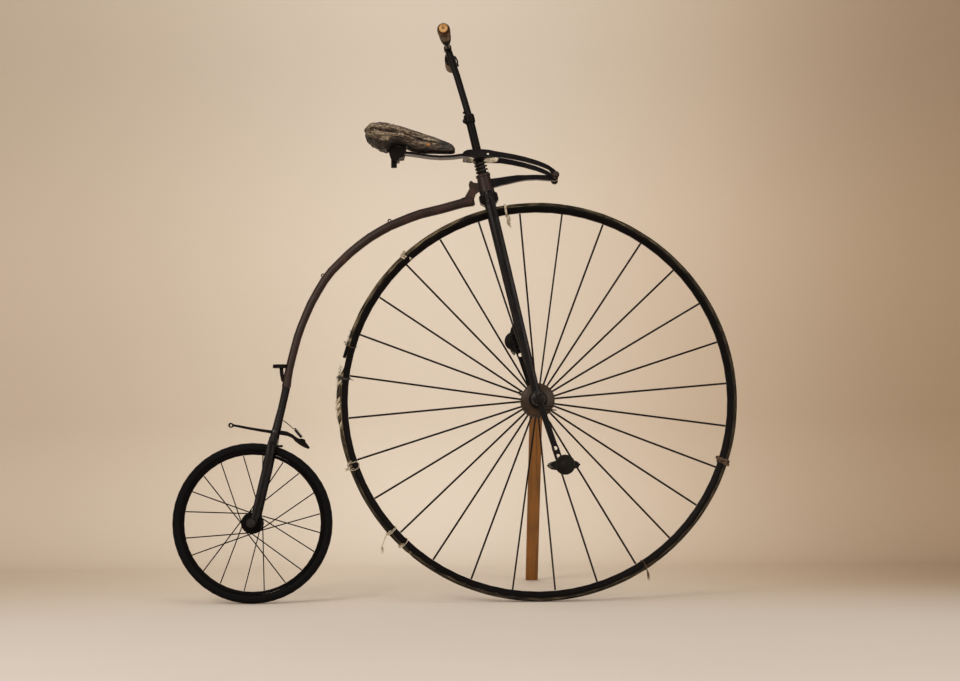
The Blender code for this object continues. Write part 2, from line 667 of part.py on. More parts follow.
def crank(name, hand, body):
    place = crank_frame(hand)
    half = CRANK_WIDTH / 2
    end_half = CRANK_END_WIDTH / 2
    tip = CRANK_LENGTH + CRANK_TIP_BEYOND
    hole_start = CRANK_LENGTH * HOLE_SHARES[0]
    outline = [(-half, -half), (hole_start - end_half, -half), (hole_start, -end_half),
               (tip - half, -end_half), (tip, -half / 2), (tip, half / 2),
               (tip - half, end_half), (hole_start, end_half),
               (hole_start - end_half, half), (-half, half)]
    boss_profile = (
        (0, BOSS_OUT), (BOSS_RADIUS * 0.55, BOSS_OUT * 0.99), (BOSS_RADIUS * 0.88, BOSS_OUT * 0.96),
        (BOSS_RADIUS, CRANK_OUT * 0.96), (BOSS_RADIUS, BOSS_IN * 1.04), (BOSS_RADIUS * 0.92, BOSS_IN),
        (0, BOSS_IN))
    piece = turned(name, boss_profile, 24, place)
    arm = local_plate(name + "_arm", outline, CRANK_IN, CRANK_OUT, place)
    spindle = pedal_frame(hand)
    pin = cylinder(name + "_pin", PIN_RADIUS, spindle @ Vector((0, 0, CRANK_IN * 1.02)),
                   spindle @ Vector((0, 0, PIN_END)))
    union(piece, arm, pin)
    for index, share in enumerate(HOLE_SHARES):
        reach = CRANK_LENGTH * share
        hole = cylinder(f"{name}_hole_{index}", HOLE_RADIUS, place @ Vector((reach, 0, BOSS_IN)),
                        place @ Vector((reach, 0, BOSS_OUT)), steps=16)
        cut(piece, hole)
    end = AXLE_RIGHT_END + FIT_GAP if hand == 1 else AXLE_LEFT_END
    bore = cylinder(name + "_bore", AXLE_RADIUS + FIT_GAP, place @ Vector((0, 0, BOSS_IN * 0.9)),
                    place @ Vector((0, 0, end)), steps=28)
    cut(piece, bore)
    finish(piece, body, IRON_BLACK, 0.35, 0.6)


def pedal(name, hand, turn, body):
    """A pedal lying at an angle to its crank, with its own z along its spindle."""
    place = pedal_frame(hand) @ Matrix.Rotation(turn, 4, "Z")
    wide = PEDAL_HALF_WIDTH
    high = PEDAL_HALF_HEIGHT
    lens = [(-wide, 0), (-wide * 0.72, -high * 0.78), (-wide * 0.40, -high), (wide * 0.40, -high),
            (wide * 0.72, -high * 0.78), (wide, 0), (wide * 0.72, high * 0.78), (wide * 0.40, high),
            (-wide * 0.40, high), (-wide * 0.72, high * 0.78)]
    inner = local_plate(name + "_inner", lens, PEDAL_IN, PEDAL_IN + PEDAL_PLATE, place)
    outer_low = PEDAL_OUT - PEDAL_PLATE - PEDAL_PLATE / 2
    outer = local_plate(name + "_outer", lens, outer_low, outer_low + PEDAL_PLATE, place)
    disc_profile = (
        (0, PEDAL_OUT), (PEDAL_BOSS * 0.8, PEDAL_OUT), (PEDAL_BOSS, outer_low + PEDAL_PLATE * 1.25),
        (PEDAL_DISC * 0.92, outer_low + PEDAL_PLATE * 1.1), (PEDAL_DISC, outer_low + PEDAL_PLATE * 0.8),
        (PEDAL_DISC, outer_low + PEDAL_PLATE * 0.1), (PEDAL_BARREL, outer_low - PEDAL_PLATE * 0.2),
        (PEDAL_BARREL, PEDAL_IN + PEDAL_PLATE * 0.1), (0, PEDAL_IN + PEDAL_PLATE * 0.1))
    piece = turned(name, disc_profile, 24, place)
    union(piece, inner, outer)
    length = outer_low - PEDAL_IN
    for sign in (-1, 1):
        middle = Vector((sign * PEDAL_BLOCK_X, 0, PEDAL_IN + PEDAL_PLATE / 2 + length / 2))
        tread = block(f"{name}_tread_{sign}", (PEDAL_BLOCK_WIDTH, PEDAL_BLOCK_HEIGHT, length),
                      place @ Matrix.Translation(middle))
        union(piece, tread)
    bore = cylinder(name + "_bore", PEDAL_BORE, place @ Vector((0, 0, PEDAL_IN * 0.95)),
                    place @ Vector((0, 0, PIN_END + RUN_GAP)))
    cut(piece, bore)
    finish(piece, body, IRON_GREY, 0.45, 0.5)


def fork(body):
    place = steering()
    middle = Matrix.Translation((0, 0, (CROWN_LOW + CROWN_HIGH) / 2))
    crown = block("fork_crown", (CROWN_LENGTH, CROWN_WIDTH, CROWN_HIGH - CROWN_LOW), place @ middle,
                  CROWN_BEVEL)
    finish(crown, body, IRON_BLACK, 0.35, 0.6)
    for name, hand in (("right", -1), ("left", 1)):
        fork_blade("fork_blade_" + name, hand, place, body)
    profile = ((0, STEM_TOP), (STEM_RADIUS, STEM_TOP), (STEM_RADIUS, CROWN_HIGH + FIT_GAP),
               (0, CROWN_HIGH + FIT_GAP))
    finish(turned("stem_tube", profile, 32, place), body, IRON_BARE, 0.4, 0.8)
    stem_collar(place, body)
    handlebar(body)


def fork_blade(name, hand, place, body):
    top_y = BLADE_TOP_Y
    spans = ((CROWN_HIGH, top_y, 0.70), (CROWN_HIGH * 0.985, top_y, 0.95), (CROWN_HIGH * 0.93, top_y, 1.0),
             (CROWN_HIGH * 0.62, (top_y * 2 + BLADE_LOW_Y) / 3, 0.92),
             (CROWN_HIGH * 0.32, (top_y + BLADE_LOW_Y * 2) / 3, 0.83), (END_RADIUS * 0.8, BLADE_LOW_Y, 0.74))
    points = [place @ Vector((0, hand * y, high)) for high, y, width in spans]
    shares = [width for high, y, width in spans]
    blade = bar(name, points, BLADE_WIDTH_HIGH / 2, shares, BLADE_FLAT, resolution=3)
    ring_profile = (
        (END_BORE * 0.6, END_OUT), (END_RADIUS * 0.86, END_OUT), (END_RADIUS, END_OUT * 0.96),
        (END_RADIUS, END_IN * 1.05), (END_RADIUS * 0.86, END_IN), (END_BORE * 0.6, END_IN))
    flip = Matrix.Rotation(0 if hand == 1 else math.pi, 4, "X")
    ring = turned(name + "_end", ring_profile, 24, across(0, HUB_HEIGHT) @ flip, ring=True)
    bore = cylinder(name + "_bore", END_BORE, (0, hand * END_IN * 0.8, HUB_HEIGHT),
                    (0, hand * END_OUT * 1.2, HUB_HEIGHT), steps=28)
    middle = Matrix.Translation((0, 0, (CROWN_LOW + CROWN_HIGH) / 2))
    seat_size = (CROWN_LENGTH, CROWN_WIDTH + FIT_GAP * 2, (CROWN_HIGH - CROWN_LOW) * 2)
    seat = block(name + "_seat", seat_size, place @ middle)
    union(blade, ring)
    cut(blade, bore, seat)
    finish(blade, body, IRON_BLACK, 0.3, 0.6)


def stem_collar(place, body):
    tall = COLLAR_HIGH - COLLAR_LOW
    profile = ((0, COLLAR_HIGH), (COLLAR_RADIUS * 0.85, COLLAR_HIGH),
               (COLLAR_RADIUS, COLLAR_HIGH - tall * 0.15), (COLLAR_RADIUS, COLLAR_LOW + tall * 0.15),
               (COLLAR_RADIUS * 0.85, COLLAR_LOW), (0, COLLAR_LOW))
    collar = turned("stem_collar", profile, 24, place)
    middle = (COLLAR_LOW + COLLAR_HIGH) / 2 - COLLAR_BALL_DROP
    knob = ball("collar_ball", COLLAR_BALL, place @ Vector((-COLLAR_RADIUS * 0.87, 0, middle)))
    post = POST_RADIUS + FIT_GAP
    stem = STEM_RADIUS + FIT_GAP
    step_high = STEM_TOP + FIT_GAP
    hollow = ((0, COLLAR_HIGH + tall), (post, COLLAR_HIGH + tall), (post, step_high), (stem, step_high),
              (stem, COLLAR_LOW - tall), (0, COLLAR_LOW - tall))
    bore = turned("collar_bore", hollow, 28, place)
    union(collar, knob)
    cut(collar, bore)
    finish(collar, body, IRON_BLACK, 0.4, 0.6)


def handlebar(body):
    centre = side(PLACE_SHARES["bar"])
    points = side_points(POST_SHARES)
    post = bar("handlebar_post", points, POST_RADIUS, resolution=4)
    eye = cylinder("bar_eye", BAR_EYE_RADIUS, centre - Vector((0, BAR_EYE_HALF, 0)),
                   centre + Vector((0, BAR_EYE_HALF, 0)), steps=32)
    hole = cylinder("bar_hole", BAR_RADIUS + FIT_GAP, centre - Vector((0, BAR_EYE_HALF * 1.5, 0)),
                    centre + Vector((0, BAR_EYE_HALF * 1.5, 0)), steps=32)
    knob = ball("post_knob", POST_KNOB, side(PLACE_SHARES["post_knob"]))
    union(post, eye, knob)
    cut(post, hole)
    finish(post, body, IRON_BARE, 0.4, 0.8)
    ahead = Vector((BAR_SKEW, 0, -BAR_TILT))
    run = []
    for reach in (-BAR_END_Y, -GRIP_IN_Y, -BAR_EYE_HALF * 1.5, BAR_EYE_HALF * 1.5, GRIP_IN_Y, BAR_END_Y):
        bend = max(0, abs(reach) - BAR_EYE_HALF * 1.5) / (BAR_END_Y - BAR_EYE_HALF * 1.5)
        run.append(centre + Vector((0, reach, 0)) + ahead * math.copysign(bend, reach))
    thin = BAR_END_RADIUS / BAR_RADIUS
    bar_piece = bar("handlebar", run, BAR_RADIUS, (thin, thin, 1, 1, thin, thin), resolution=4)
    finish(bar_piece, body, IRON_BARE, 0.4, 0.8)
    for name, hand in (("right", -1), ("left", 1)):
        grip("grip_" + name, hand, run[1 if hand == -1 else 4], run[0 if hand == -1 else 5], body)
    hook = bar("post_hook", side_points(HOOK_SHARES), HOOK_RADIUS, resolution=2)
    finish(hook, body, IRON_GREY, 0.4, 0.7)


def grip(name, hand, start, end, body):
    """A turned handle over one end of the bar, widest near its outer end."""
    axis = (end - start).normalized()
    turn = axis.to_track_quat("Z", "Y").to_matrix().to_4x4()
    place = Matrix.Translation(start) @ turn
    length = GRIP_OUT_Y - GRIP_IN_Y
    bore = BAR_END_RADIUS + FIT_GAP
    inside = (end - start).length + FIT_GAP
    spans = ((0.0, GRIP_FACE), (0.03, GRIP_FACE * 1.15), (0.12, GRIP_WIDE * 0.90), (0.30, GRIP_WIDE),
             (0.55, GRIP_WIDE * 0.93), (0.80, GRIP_WIDE * 0.80), (1.0, GRIP_NARROW))
    profile = [(0, length)] + [(radius, length * (1 - share)) for share, radius in spans]
    profile += [(bore, 0), (bore, inside), (0, inside)]
    handle = turned(name, profile, 24, place)
    finish(handle, body, HORN, 0.5, 0.0)


def prop(body):
    """A wooden batten from the floor to the left end of the front axle."""
    top = Vector((0, PROP_TOP_REACH, HUB_HEIGHT))
    foot_world = Vector((PROP_FOOT_X, PROP_FOOT_Y, 0))
    foot = Matrix.Rotation(LEAN, 4, "X") @ foot_world
    axis = (top - foot).normalized()
    thick_way = axis.cross(Vector((1, 0, 0))).normalized()
    side_way = thick_way.cross(axis)
    frame = Matrix((side_way, thick_way, axis)).transposed().to_4x4()
    middle = (top + foot) / 2
    length = (top - foot).length * 1.31
    batten = block("prop", (PROP_WIDTH, PROP_THICKNESS, length), Matrix.Translation(middle) @ frame)
    reach = length / 2
    above = block("prop_top_cut", (reach, reach, reach),
                  Matrix.Translation(top + Vector((0, 0, reach / 2 + AXLE_RADIUS * 0.2))))
    floor = Matrix.Rotation(LEAN, 4, "X") @ Matrix.Translation((0, PROP_FOOT_Y, -reach / 2 - FLOOR_DROP))
    below = block("prop_floor_cut", (reach, reach, reach), floor)
    notch = cylinder("prop_notch", AXLE_RADIUS + FIT_GAP, top - Vector((0, reach / 2, 0)),
                     top + Vector((0, reach / 2, 0)), steps=28)
    cut(batten, above, below, notch)
    finish(batten, body, WOOD, 0.8, 0.0)


def head(body):
    place = steering()
    bore = STEM_RADIUS + RUN_GAP
    lip = HEAD_HIGH - HEAD_LIP_HEIGHT
    core = STEM_RADIUS * 0.6
    profile = ((core, HEAD_HIGH), (HEAD_LIP * 0.96, HEAD_HIGH), (HEAD_LIP, HEAD_HIGH * 0.998),
               (HEAD_LIP, lip), (HEAD_RADIUS_HIGH, lip * 0.998), (HEAD_RADIUS_LOW * 0.97, HEAD_LOW * 1.02),
               (HEAD_RADIUS_LOW, HEAD_LOW * 1.01), (HEAD_RADIUS_LOW, HEAD_LOW), (core, HEAD_LOW))
    socket = turned("steering_head", profile, 28, place, ring=True)
    lug = plate("head_lug", side_points(LUG_SHARES), LUG_THICKNESS)
    run = side_points(BACKBONE_SHARES)
    run[0] += (run[0] - run[1]).normalized() * FIT_GAP
    tool = bar("backbone_seat", run, BACKBONE_RADIUS + FIT_GAP, BACKBONE_RADIUS_SHARES, resolution=4)
    hollow = cylinder("head_bore", bore, place @ Vector((0, 0, HEAD_LOW * 0.95)),
                      place @ Vector((0, 0, HEAD_HIGH * 1.05)), steps=28)
    union(socket, lug)
    cut(socket, tool, hollow)
    finish(socket, body, IRON_BROWN, 0.5, 0.5)
    arm = plate("spring_arm", side_points(SPRING_BAR_SHARES), SPRING_ARM_THICKNESS)
    skin = cylinder("arm_seat", HEAD_LIP + FIT_GAP + FIT_GAP, place @ Vector((0, 0, HEAD_LOW * 0.95)),
                    place @ Vector((0, 0, HEAD_HIGH * 1.05)), steps=28)
    hole = cylinder("arm_hole", BOLT_RADIUS + FIT_GAP, side(PLACE_SHARES["bolt"]) - Vector((0, SPRING_Y, 0)),
                    side(PLACE_SHARES["bolt"]) + Vector((0, SPRING_Y, 0)), steps=20)
    cut(arm, skin, hole)
    finish(arm, body, IRON_BLACK, 0.4, 0.6)


def backbone(body):
    spine = bar("backbone", side_points(BACKBONE_SHARES), BACKBONE_RADIUS, BACKBONE_RADIUS_SHARES,
                resolution=4)
    for name in ("upper_eyelet", "lower_eyelet"):
        union(spine, eyelet(name, side(PLACE_SHARES[name])))
    finish(spine, body, IRON_BROWN, 0.5, 0.5)


def eyelet(name, centre):
    profile = []
    for index in range(6):
        angle = -math.tau * index / 6
        profile.append((EYELET_RADIUS - EYELET_WIRE + EYELET_WIRE * math.cos(angle),
                        EYELET_WIRE * math.sin(angle)))
    return turned(name, profile, 16, across(centre.x, centre.z), ring=True)


def springs(body):
    place = steering()
    turns = []
    count = int(COIL_TURNS * 14)
    for index in range(count + 1):
        angle = math.tau * COIL_TURNS * index / count
        high = COIL_LOW + COIL_WIRE + (COIL_HIGH - COIL_LOW - COIL_WIRE * 2) * index / count
        turns.append(place @ Vector((COIL_RADIUS * math.cos(angle), COIL_RADIUS * math.sin(angle), high)))
    coil = bar("coil_spring", turns, COIL_WIRE, resolution=1)
    finish(coil, body, IRON_GREY, 0.4, 0.7)
    profile = ((STEM_RADIUS + RUN_GAP, SEAT_HIGH), (SEAT_RADIUS * 0.9, SEAT_HIGH),
               (SEAT_RADIUS, SEAT_HIGH * 0.997), (SEAT_RADIUS, COIL_HIGH + FIT_GAP),
               (STEM_RADIUS + RUN_GAP, COIL_HIGH + FIT_GAP))
    finish(turned("spring_seat", profile, 24, place, ring=True), body, IRON_BLACK, 0.4, 0.6)
    saddle_spring(body)


def saddle_spring(body):
    bolt = side(PLACE_SHARES["bolt"])
    outline = side_points(ARM_TOP_SHARES) + side_points(ARM_LOW_SHARES)
    leaf_line = side_points(LEAF_SHARES)
    up = Vector((0, 0, LEAF_THICKNESS / 2))
    leaf_outline = [point + up for point in leaf_line] + [point - up for point in leaf_line[::-1]]
    spring = plate("saddle_spring", leaf_outline, SPRING_LEAF_WIDTH)
    bridge = plate("spring_bridge", side_points(BRIDGE_SHARES), SPRING_Y * 2 + SPRING_ARM_WIDTH * 0.9)
    union(spring, bridge)
    for hand in (-1, 1):
        arm = plate(f"spring_side_{hand}", outline, SPRING_ARM_WIDTH, hand * SPRING_Y)
        union(spring, arm)
    hole = cylinder("spring_hole", BOLT_RADIUS + FIT_GAP, bolt - Vector((0, SPRING_Y * 1.5, 0)),
                    bolt + Vector((0, SPRING_Y * 1.5, 0)), steps=20)
    light = side(PLACE_SHARES["spring_hole"])
    pierced = cylinder("spring_light", SPRING_HOLE, light - Vector((0, SPRING_Y * 1.5, 0)), light, steps=12)
    cut(spring, hole, pierced)
    finish(spring, body, IRON_BLACK, 0.4, 0.6)
    reach = SPRING_Y + SPRING_ARM_WIDTH / 2
    profile = ((0, BOLT_HALF + BOLT_BALL * 0.5), (BOLT_BALL * 0.6, BOLT_HALF + BOLT_BALL * 0.35),
               (BOLT_BALL, BOLT_HALF - BOLT_BALL * 0.2), (BOLT_BALL * 0.7, reach + FIT_GAP),
               (BOLT_RADIUS, reach + FIT_GAP), (BOLT_RADIUS, -reach - FIT_GAP),
               (BOLT_BALL * 0.7, -reach - FIT_GAP), (BOLT_BALL, -BOLT_HALF + BOLT_BALL * 0.2),
               (BOLT_BALL * 0.6, -BOLT_HALF - BOLT_BALL * 0.35), (0, -BOLT_HALF - BOLT_BALL * 0.5))
    finish(turned("spring_bolt", profile, 20, across(bolt.x, bolt.z)), body, IRON_GREY, 0.4, 0.7)


def saddle(body):
    clamp = plate("saddle_clamp", side_points(CLAMP_SHARES), CLAMP_WIDTH)
    leaf_line = side_points(LEAF_SHARES)
    up = Vector((0, 0, LEAF_THICKNESS / 2 + FIT_GAP))
    back = Vector((-FIT_GAP, 0, 0))
    slot_line = leaf_line[:-1] + [leaf_line[-1] + back]
    slot_outline = [point + up for point in slot_line] + [point - up for point in slot_line[::-1]]
    slot = plate("clamp_slot", slot_outline, SPRING_LEAF_WIDTH + FIT_GAP * 2)
    foot = side(PLACE_SHARES["clamp_bolt"])
    nut = cylinder("clamp_nut", POST_RADIUS * 0.85, foot - Vector((0, 0, STEM_RADIUS * 1.7)),
                   foot + Vector((0, 0, BOLT_RADIUS)), steps=20)
    union(clamp, nut)
    cut(clamp, slot)
    finish(clamp, body, IRON_BLACK, 0.5, 0.5)
    saddle_top(body)


def saddle_top(body):
    """The leather top as a soft cage of stations from the cantle to the nose."""
    rings = []
    bm = bmesh.new()
    rows = zip(SADDLE_STATION_SHARES, SADDLE_TOP_SHARES, SADDLE_LOW_SHARES, SADDLE_WIDTH_SHARES)
    for station, top_share, low_share, width_share in rows:
        x = station * WHEELBASE
        top = top_share * FRONT_DIAMETER
        low = low_share * FRONT_DIAMETER
        half = width_share * WHEELBASE
        waist = low + (top - low) * SADDLE_SHOULDER_SHARE
        places = ((0, top), (half * SADDLE_WAIST_SHARE, waist + (top - waist) * 0.6), (half, waist * 0.4 + low * 0.6),
                  (half * 0.8, low), (0, low))
        left = [bm.verts.new((x, y, z)) for y, z in places]
        right = [bm.verts.new((x, -y, z)) for y, z in places[1:-1]]
        rings.append(left + right[::-1])
    for first, second in zip(rings, rings[1:]):
        for index in range(len(first)):
            after = (index + 1) % len(first)
            bm.faces.new((first[index], first[after], second[after], second[index]))
    bm.faces.new(rings[0][::-1])
    bm.faces.new(rings[-1])
    bmesh.ops.recalc_face_normals(bm, faces=bm.faces)
    mesh = bpy.data.meshes.new("saddle")
    bm.to_mesh(mesh)
    bm.free()
    obj = add("saddle", mesh)
    soft = obj.modifiers.new("soft", "SUBSURF")
    soft.levels = 2
    soft.render_levels = 2
    obj = fixed_mesh(obj)
    pocket = [side(share) for share in CLAMP_SHARES]
    low_x = pocket[0].x - SADDLE_POCKET
    high_x = pocket[1].x + SADDLE_POCKET
    top = pocket[0].z + FIT_GAP
    bottom = top - CLAMP_WIDTH
    size = (high_x - low_x, CLAMP_WIDTH + SADDLE_POCKET * 2, top - bottom)
    middle = ((low_x + high_x) / 2, 0, (top + bottom) / 2)
    hollow = block("saddle_pocket", size, Matrix.Translation(middle))
    nose_x = -WHEELBASE * 0.2
    slot_z = pocket[0].z - CLAMP_WIDTH * 0.12
    slot_size = (nose_x - low_x, SPRING_LEAF_WIDTH + SADDLE_POCKET * 2, CLAMP_WIDTH * 0.5)
    slot = block("saddle_slot", slot_size,
                 Matrix.Translation(((nose_x + low_x) / 2, 0, slot_z - slot_size[2] / 2)))
    cut(obj, hollow, slot)
    finish(obj, body, LEATHER, 0.7, 0.0)


def rear_fork(body):
    neck = bar("rear_fork_crown", side_points(REAR_NECK_SHARES), REAR_NECK_RADIUS, REAR_NECK_RADIUS_SHARES,
               resolution=3)
    top = side(REAR_BLADE_SHARES[1])
    low = side(REAR_NECK_SHARES[-1])
    turn = (top - low).to_track_quat("Z", "Y").to_matrix().to_4x4()
    crown = block("crown_block", (REAR_NECK_RADIUS * 2, REAR_CROWN_WIDTH, REAR_NECK_RADIUS * 2.2),
                  Matrix.Translation(top * 0.8 + low * 0.2) @ crown_turn(top - low))
    pivot = side(PLACE_SHARES["pivot"])
    slot = plate("lever_slot", lever_outline(1.8), LEVER_SLOT)
    tyre = turned("tyre_clear", ((0, REAR_CROWN_WIDTH), (REAR_RADIUS + REAR_TYRE_CLEARANCE, REAR_CROWN_WIDTH),
                                 (REAR_RADIUS + REAR_TYRE_CLEARANCE, -REAR_CROWN_WIDTH), (0, -REAR_CROWN_WIDTH)),
                  REAR_STEPS, across(-WHEELBASE, REAR_HEIGHT))
    hole = cylinder("pivot_hole", PIVOT_RADIUS + FIT_GAP, pivot - Vector((0, REAR_CROWN_WIDTH, 0)),
                    pivot + Vector((0, REAR_CROWN_WIDTH, 0)), steps=16)
    union(neck, crown)
    cut(neck, tyre, slot, hole)
    finish(neck, body, IRON_BLACK, 0.4, 0.6)
    for name, hand in (("right", -1), ("left", 1)):
        rear_blade("rear_blade_" + name, hand, body)
    profile = ((0, REAR_AXLE_END), (REAR_AXLE_RADIUS, REAR_AXLE_END),
               (REAR_AXLE_RADIUS, REAR_EYE_OUT + REAR_NUT_LENGTH), (REAR_NUT_RADIUS, REAR_EYE_OUT + REAR_NUT_LENGTH),
               (REAR_NUT_RADIUS, REAR_EYE_OUT + FIT_GAP), (REAR_AXLE_RADIUS, REAR_EYE_OUT + FIT_GAP),
               (REAR_AXLE_RADIUS, -REAR_EYE_OUT - FIT_GAP), (REAR_NUT_RADIUS, -REAR_EYE_OUT - FIT_GAP),
               (REAR_NUT_RADIUS, -REAR_EYE_OUT - REAR_NUT_LENGTH),
               (REAR_AXLE_RADIUS, -REAR_EYE_OUT - REAR_NUT_LENGTH), (REAR_AXLE_RADIUS, -REAR_AXLE_END),
               (0, -REAR_AXLE_END))
    finish(turned("rear_axle", profile, 16, across(-WHEELBASE, REAR_HEIGHT)), body, IRON_GREY, 0.4, 0.7)


def crown_turn(axis):
    """A turn that keeps y across the machine and puts z along the axis."""
    along = axis.normalized()
    sideways = Vector((0, 1, 0))
    ahead = sideways.cross(along)
    return Matrix((ahead, sideways, along)).transposed().to_4x4()


def lever_outline(grow):
    """The lever's outline, made taller for the slot it passes through."""
    lift = Vector((0, 0, REAR_EYE_RADIUS * (grow - 1)))
    top = [point + lift for point in side_points(LEVER_TOP_SHARES)]
    low = [point - lift for point in side_points(LEVER_LOW_SHARES)]
    return top + low


def rear_blade(name, hand, body):
    run = side_points(REAR_BLADE_SHARES)
    first = run[1].z
    last = run[-1].z
    points = []
    for point in run:
        share = min(1, max(0, (first - point.z) / (first - last)))
        y = REAR_BLADE_TOP_Y + (REAR_BLADE_LOW_Y - REAR_BLADE_TOP_Y) * share
        points.append(point + Vector((0, hand * y, 0)))
    blade = bar(name, points, REAR_BLADE_RADIUS, REAR_BLADE_WIDTH_SHARES, REAR_BLADE_FLAT, resolution=3)
    centre = (-WHEELBASE, REAR_HEIGHT)
    profile = ((REAR_AXLE_RADIUS * 0.6, REAR_EYE_OUT), (REAR_EYE_RADIUS, REAR_EYE_OUT),
               (REAR_EYE_RADIUS, REAR_EYE_IN), (REAR_AXLE_RADIUS * 0.6, REAR_EYE_IN))
    flip = Matrix.Rotation(0 if hand == 1 else math.pi, 4, "X")
    eye = turned(name + "_eye", profile, 28, across(*centre) @ flip, ring=True)
    bore = cylinder(name + "_bore", REAR_AXLE_RADIUS + FIT_GAP, (centre[0], hand * REAR_EYE_IN * 0.8, centre[1]),
                    (centre[0], hand * REAR_EYE_OUT * 1.2, centre[1]))
    half = REAR_CROWN_WIDTH / 2 + FIT_GAP
    inside = block(name + "_seat", (REAR_RADIUS, half * 2, REAR_RADIUS),
                   Matrix.Translation((run[1].x, 0, run[1].z)))
    union(blade, eye)
    if hand == -1:
        root = side(PLACE_SHARES["peg"]) + Vector((0, -REAR_BLADE_TOP_Y, 0))
        union(blade, cylinder("blade_peg", PEG_RADIUS, root, root + Vector((PEG_LENGTH, 0, 0)), steps=12))
    cut(blade, bore, inside)
    finish(blade, body, IRON_BLACK, 0.35, 0.6)


def brake(body):
    lever = plate("brake_lever", lever_outline(1), LEVER_THICKNESS)
    shoe = plate("brake_shoe", side_points(SHOE_SHARES), SHOE_WIDTH)
    pivot = side(PLACE_SHARES["pivot"])
    eye = side(PLACE_SHARES["eye"])
    wide = Vector((0, REAR_CROWN_WIDTH, 0))
    hole = cylinder("lever_hole", PIVOT_RADIUS + FIT_GAP, pivot - wide, pivot + wide, steps=16)
    cord_hole = cylinder("lever_cord_hole", EYELET_WIRE * 1.8, eye - wide, eye + wide, steps=16)
    union(lever, shoe)
    cut(lever, hole, cord_hole)
    finish(lever, body, IRON_BROWN, 0.5, 0.5)
    head_in = REAR_CROWN_WIDTH / 2 + FIT_GAP
    profile = ((0, PIVOT_HALF + PIVOT_HEAD * 0.6), (PIVOT_HEAD, PIVOT_HALF + PIVOT_HEAD * 0.3),
               (PIVOT_HEAD, head_in), (PIVOT_RADIUS, head_in), (PIVOT_RADIUS, -head_in),
               (PIVOT_HEAD, -head_in), (PIVOT_HEAD, -PIVOT_HALF - PIVOT_HEAD * 0.3),
               (0, -PIVOT_HALF - PIVOT_HEAD * 0.6))
    finish(turned("brake_pivot", profile, 20, across(pivot.x, pivot.z)), body, IRON_GREY, 0.4, 0.6)
    brake_spring(body)


def brake_spring(body):
    first = side(BRAKE_SPRING_SHARES[0])
    last = side(BRAKE_SPRING_SHARES[1])
    frame = crown_turn(last - first)
    points = side_points(BRAKE_WIRE_SHARES)[:-1]
    count = BRAKE_COIL_TURNS * 8
    for index in range(count + 1):
        angle = math.pi + math.tau * BRAKE_COIL_TURNS * index / count
        ring = Vector((math.cos(angle), math.sin(angle), 0)) * BRAKE_COIL_RADIUS
        points.append(first.lerp(last, index / count) + frame.to_3x3() @ ring)
    wire = bar("brake_spring", points, BRAKE_COIL_WIRE, resolution=0)
    finish(wire, body, IRON_BROWN, 0.5, 0.5)


def step(body):
    centre = side(PLACE_SHARES["step"])
    half = Vector((0, 0, STEP_THICKNESS / 2))
    disc = cylinder("mounting_step", STEP_RADIUS, centre - half, centre + half, steps=32)
    post = bar("step_post", side_points(STEP_POST_SHARES), STEP_POST_RADIUS)
    seat = bar("step_seat", side_points(BACKBONE_SHARES), BACKBONE_RADIUS + FIT_GAP,
               BACKBONE_RADIUS_SHARES, resolution=4)
    union(disc, post)
    cut(disc, seat)
    finish(disc, body, IRON_BLACK, 0.45, 0.5)


def seat_on_origin(root):
    """Leans the machine and puts the middle of its footprint on the origin."""
    for tool in CUTTERS.objects:
        tool.parent = root
    root.matrix_world = Matrix.Rotation(-LEAN, 4, "X")
    bpy.context.view_layer.update()
    graph = bpy.context.evaluated_depsgraph_get()
    low = Vector((math.inf, math.inf, math.inf))
    high = -low
    for obj in MACHINE.objects:
        if obj.type != "MESH":
            continue
        shape = obj.evaluated_get(graph)
        for vertex in shape.data.vertices:
            spot = shape.matrix_world @ vertex.co
            low = Vector(map(min, low, spot))
            high = Vector(map(max, high, spot))
    middle = (low + high) / 2
    shift = Vector((-middle.x, -middle.y, -low.z))
    root.matrix_world = Matrix.Translation(shift) @ root.matrix_world
    bpy.context.view_layer.update()
    print("shift", [round(value, 6) for value in shift])
    print("size", [round(value, 6) for value in high - low])
    for obj in MACHINE.objects:
        if obj.type == "EMPTY":
            where = obj.matrix_world
            print(obj.name, [round(value, 6) for value in where.translation],
                  [round(value, 6) for value in where.to_3x3() @ Vector((0, 0, 1))])


def build():
    clear_scene()
    root = body_empty("velocipede_root", Matrix.Identity(4))
    frame = body_empty("frame_body", Matrix.Identity(4), root)
    turning = body_empty("fork_body", steering(), frame)
    front = body_empty("front_wheel_body", across(0, HUB_HEIGHT), turning)
    rear = body_empty("rear_wheel_body", across(-WHEELBASE, REAR_HEIGHT), frame)
    backbone(frame)
    head(frame)
    springs(frame)
    saddle(frame)
    rear_fork(frame)
    brake(frame)
    step(frame)
    fork(turning)
    prop(turning)
    front_wheel(front)
    rear_wheel(rear)
    for name, hand, turn in (("right", 1, -CRANK_ANGLE), ("left", -1, CRANK_ANGLE + math.pi / 2)):
        carrier = body_empty(f"pedal_{name}_body", pedal_frame(hand), front)
        crank("crank_" + name, hand, front)
        pedal("pedal_" + name, hand, turn, carrier)
    seat_on_origin(root)


build()
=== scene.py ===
import math
import random

import bmesh
import bpy
from mathutils import Matrix, Vector, noise


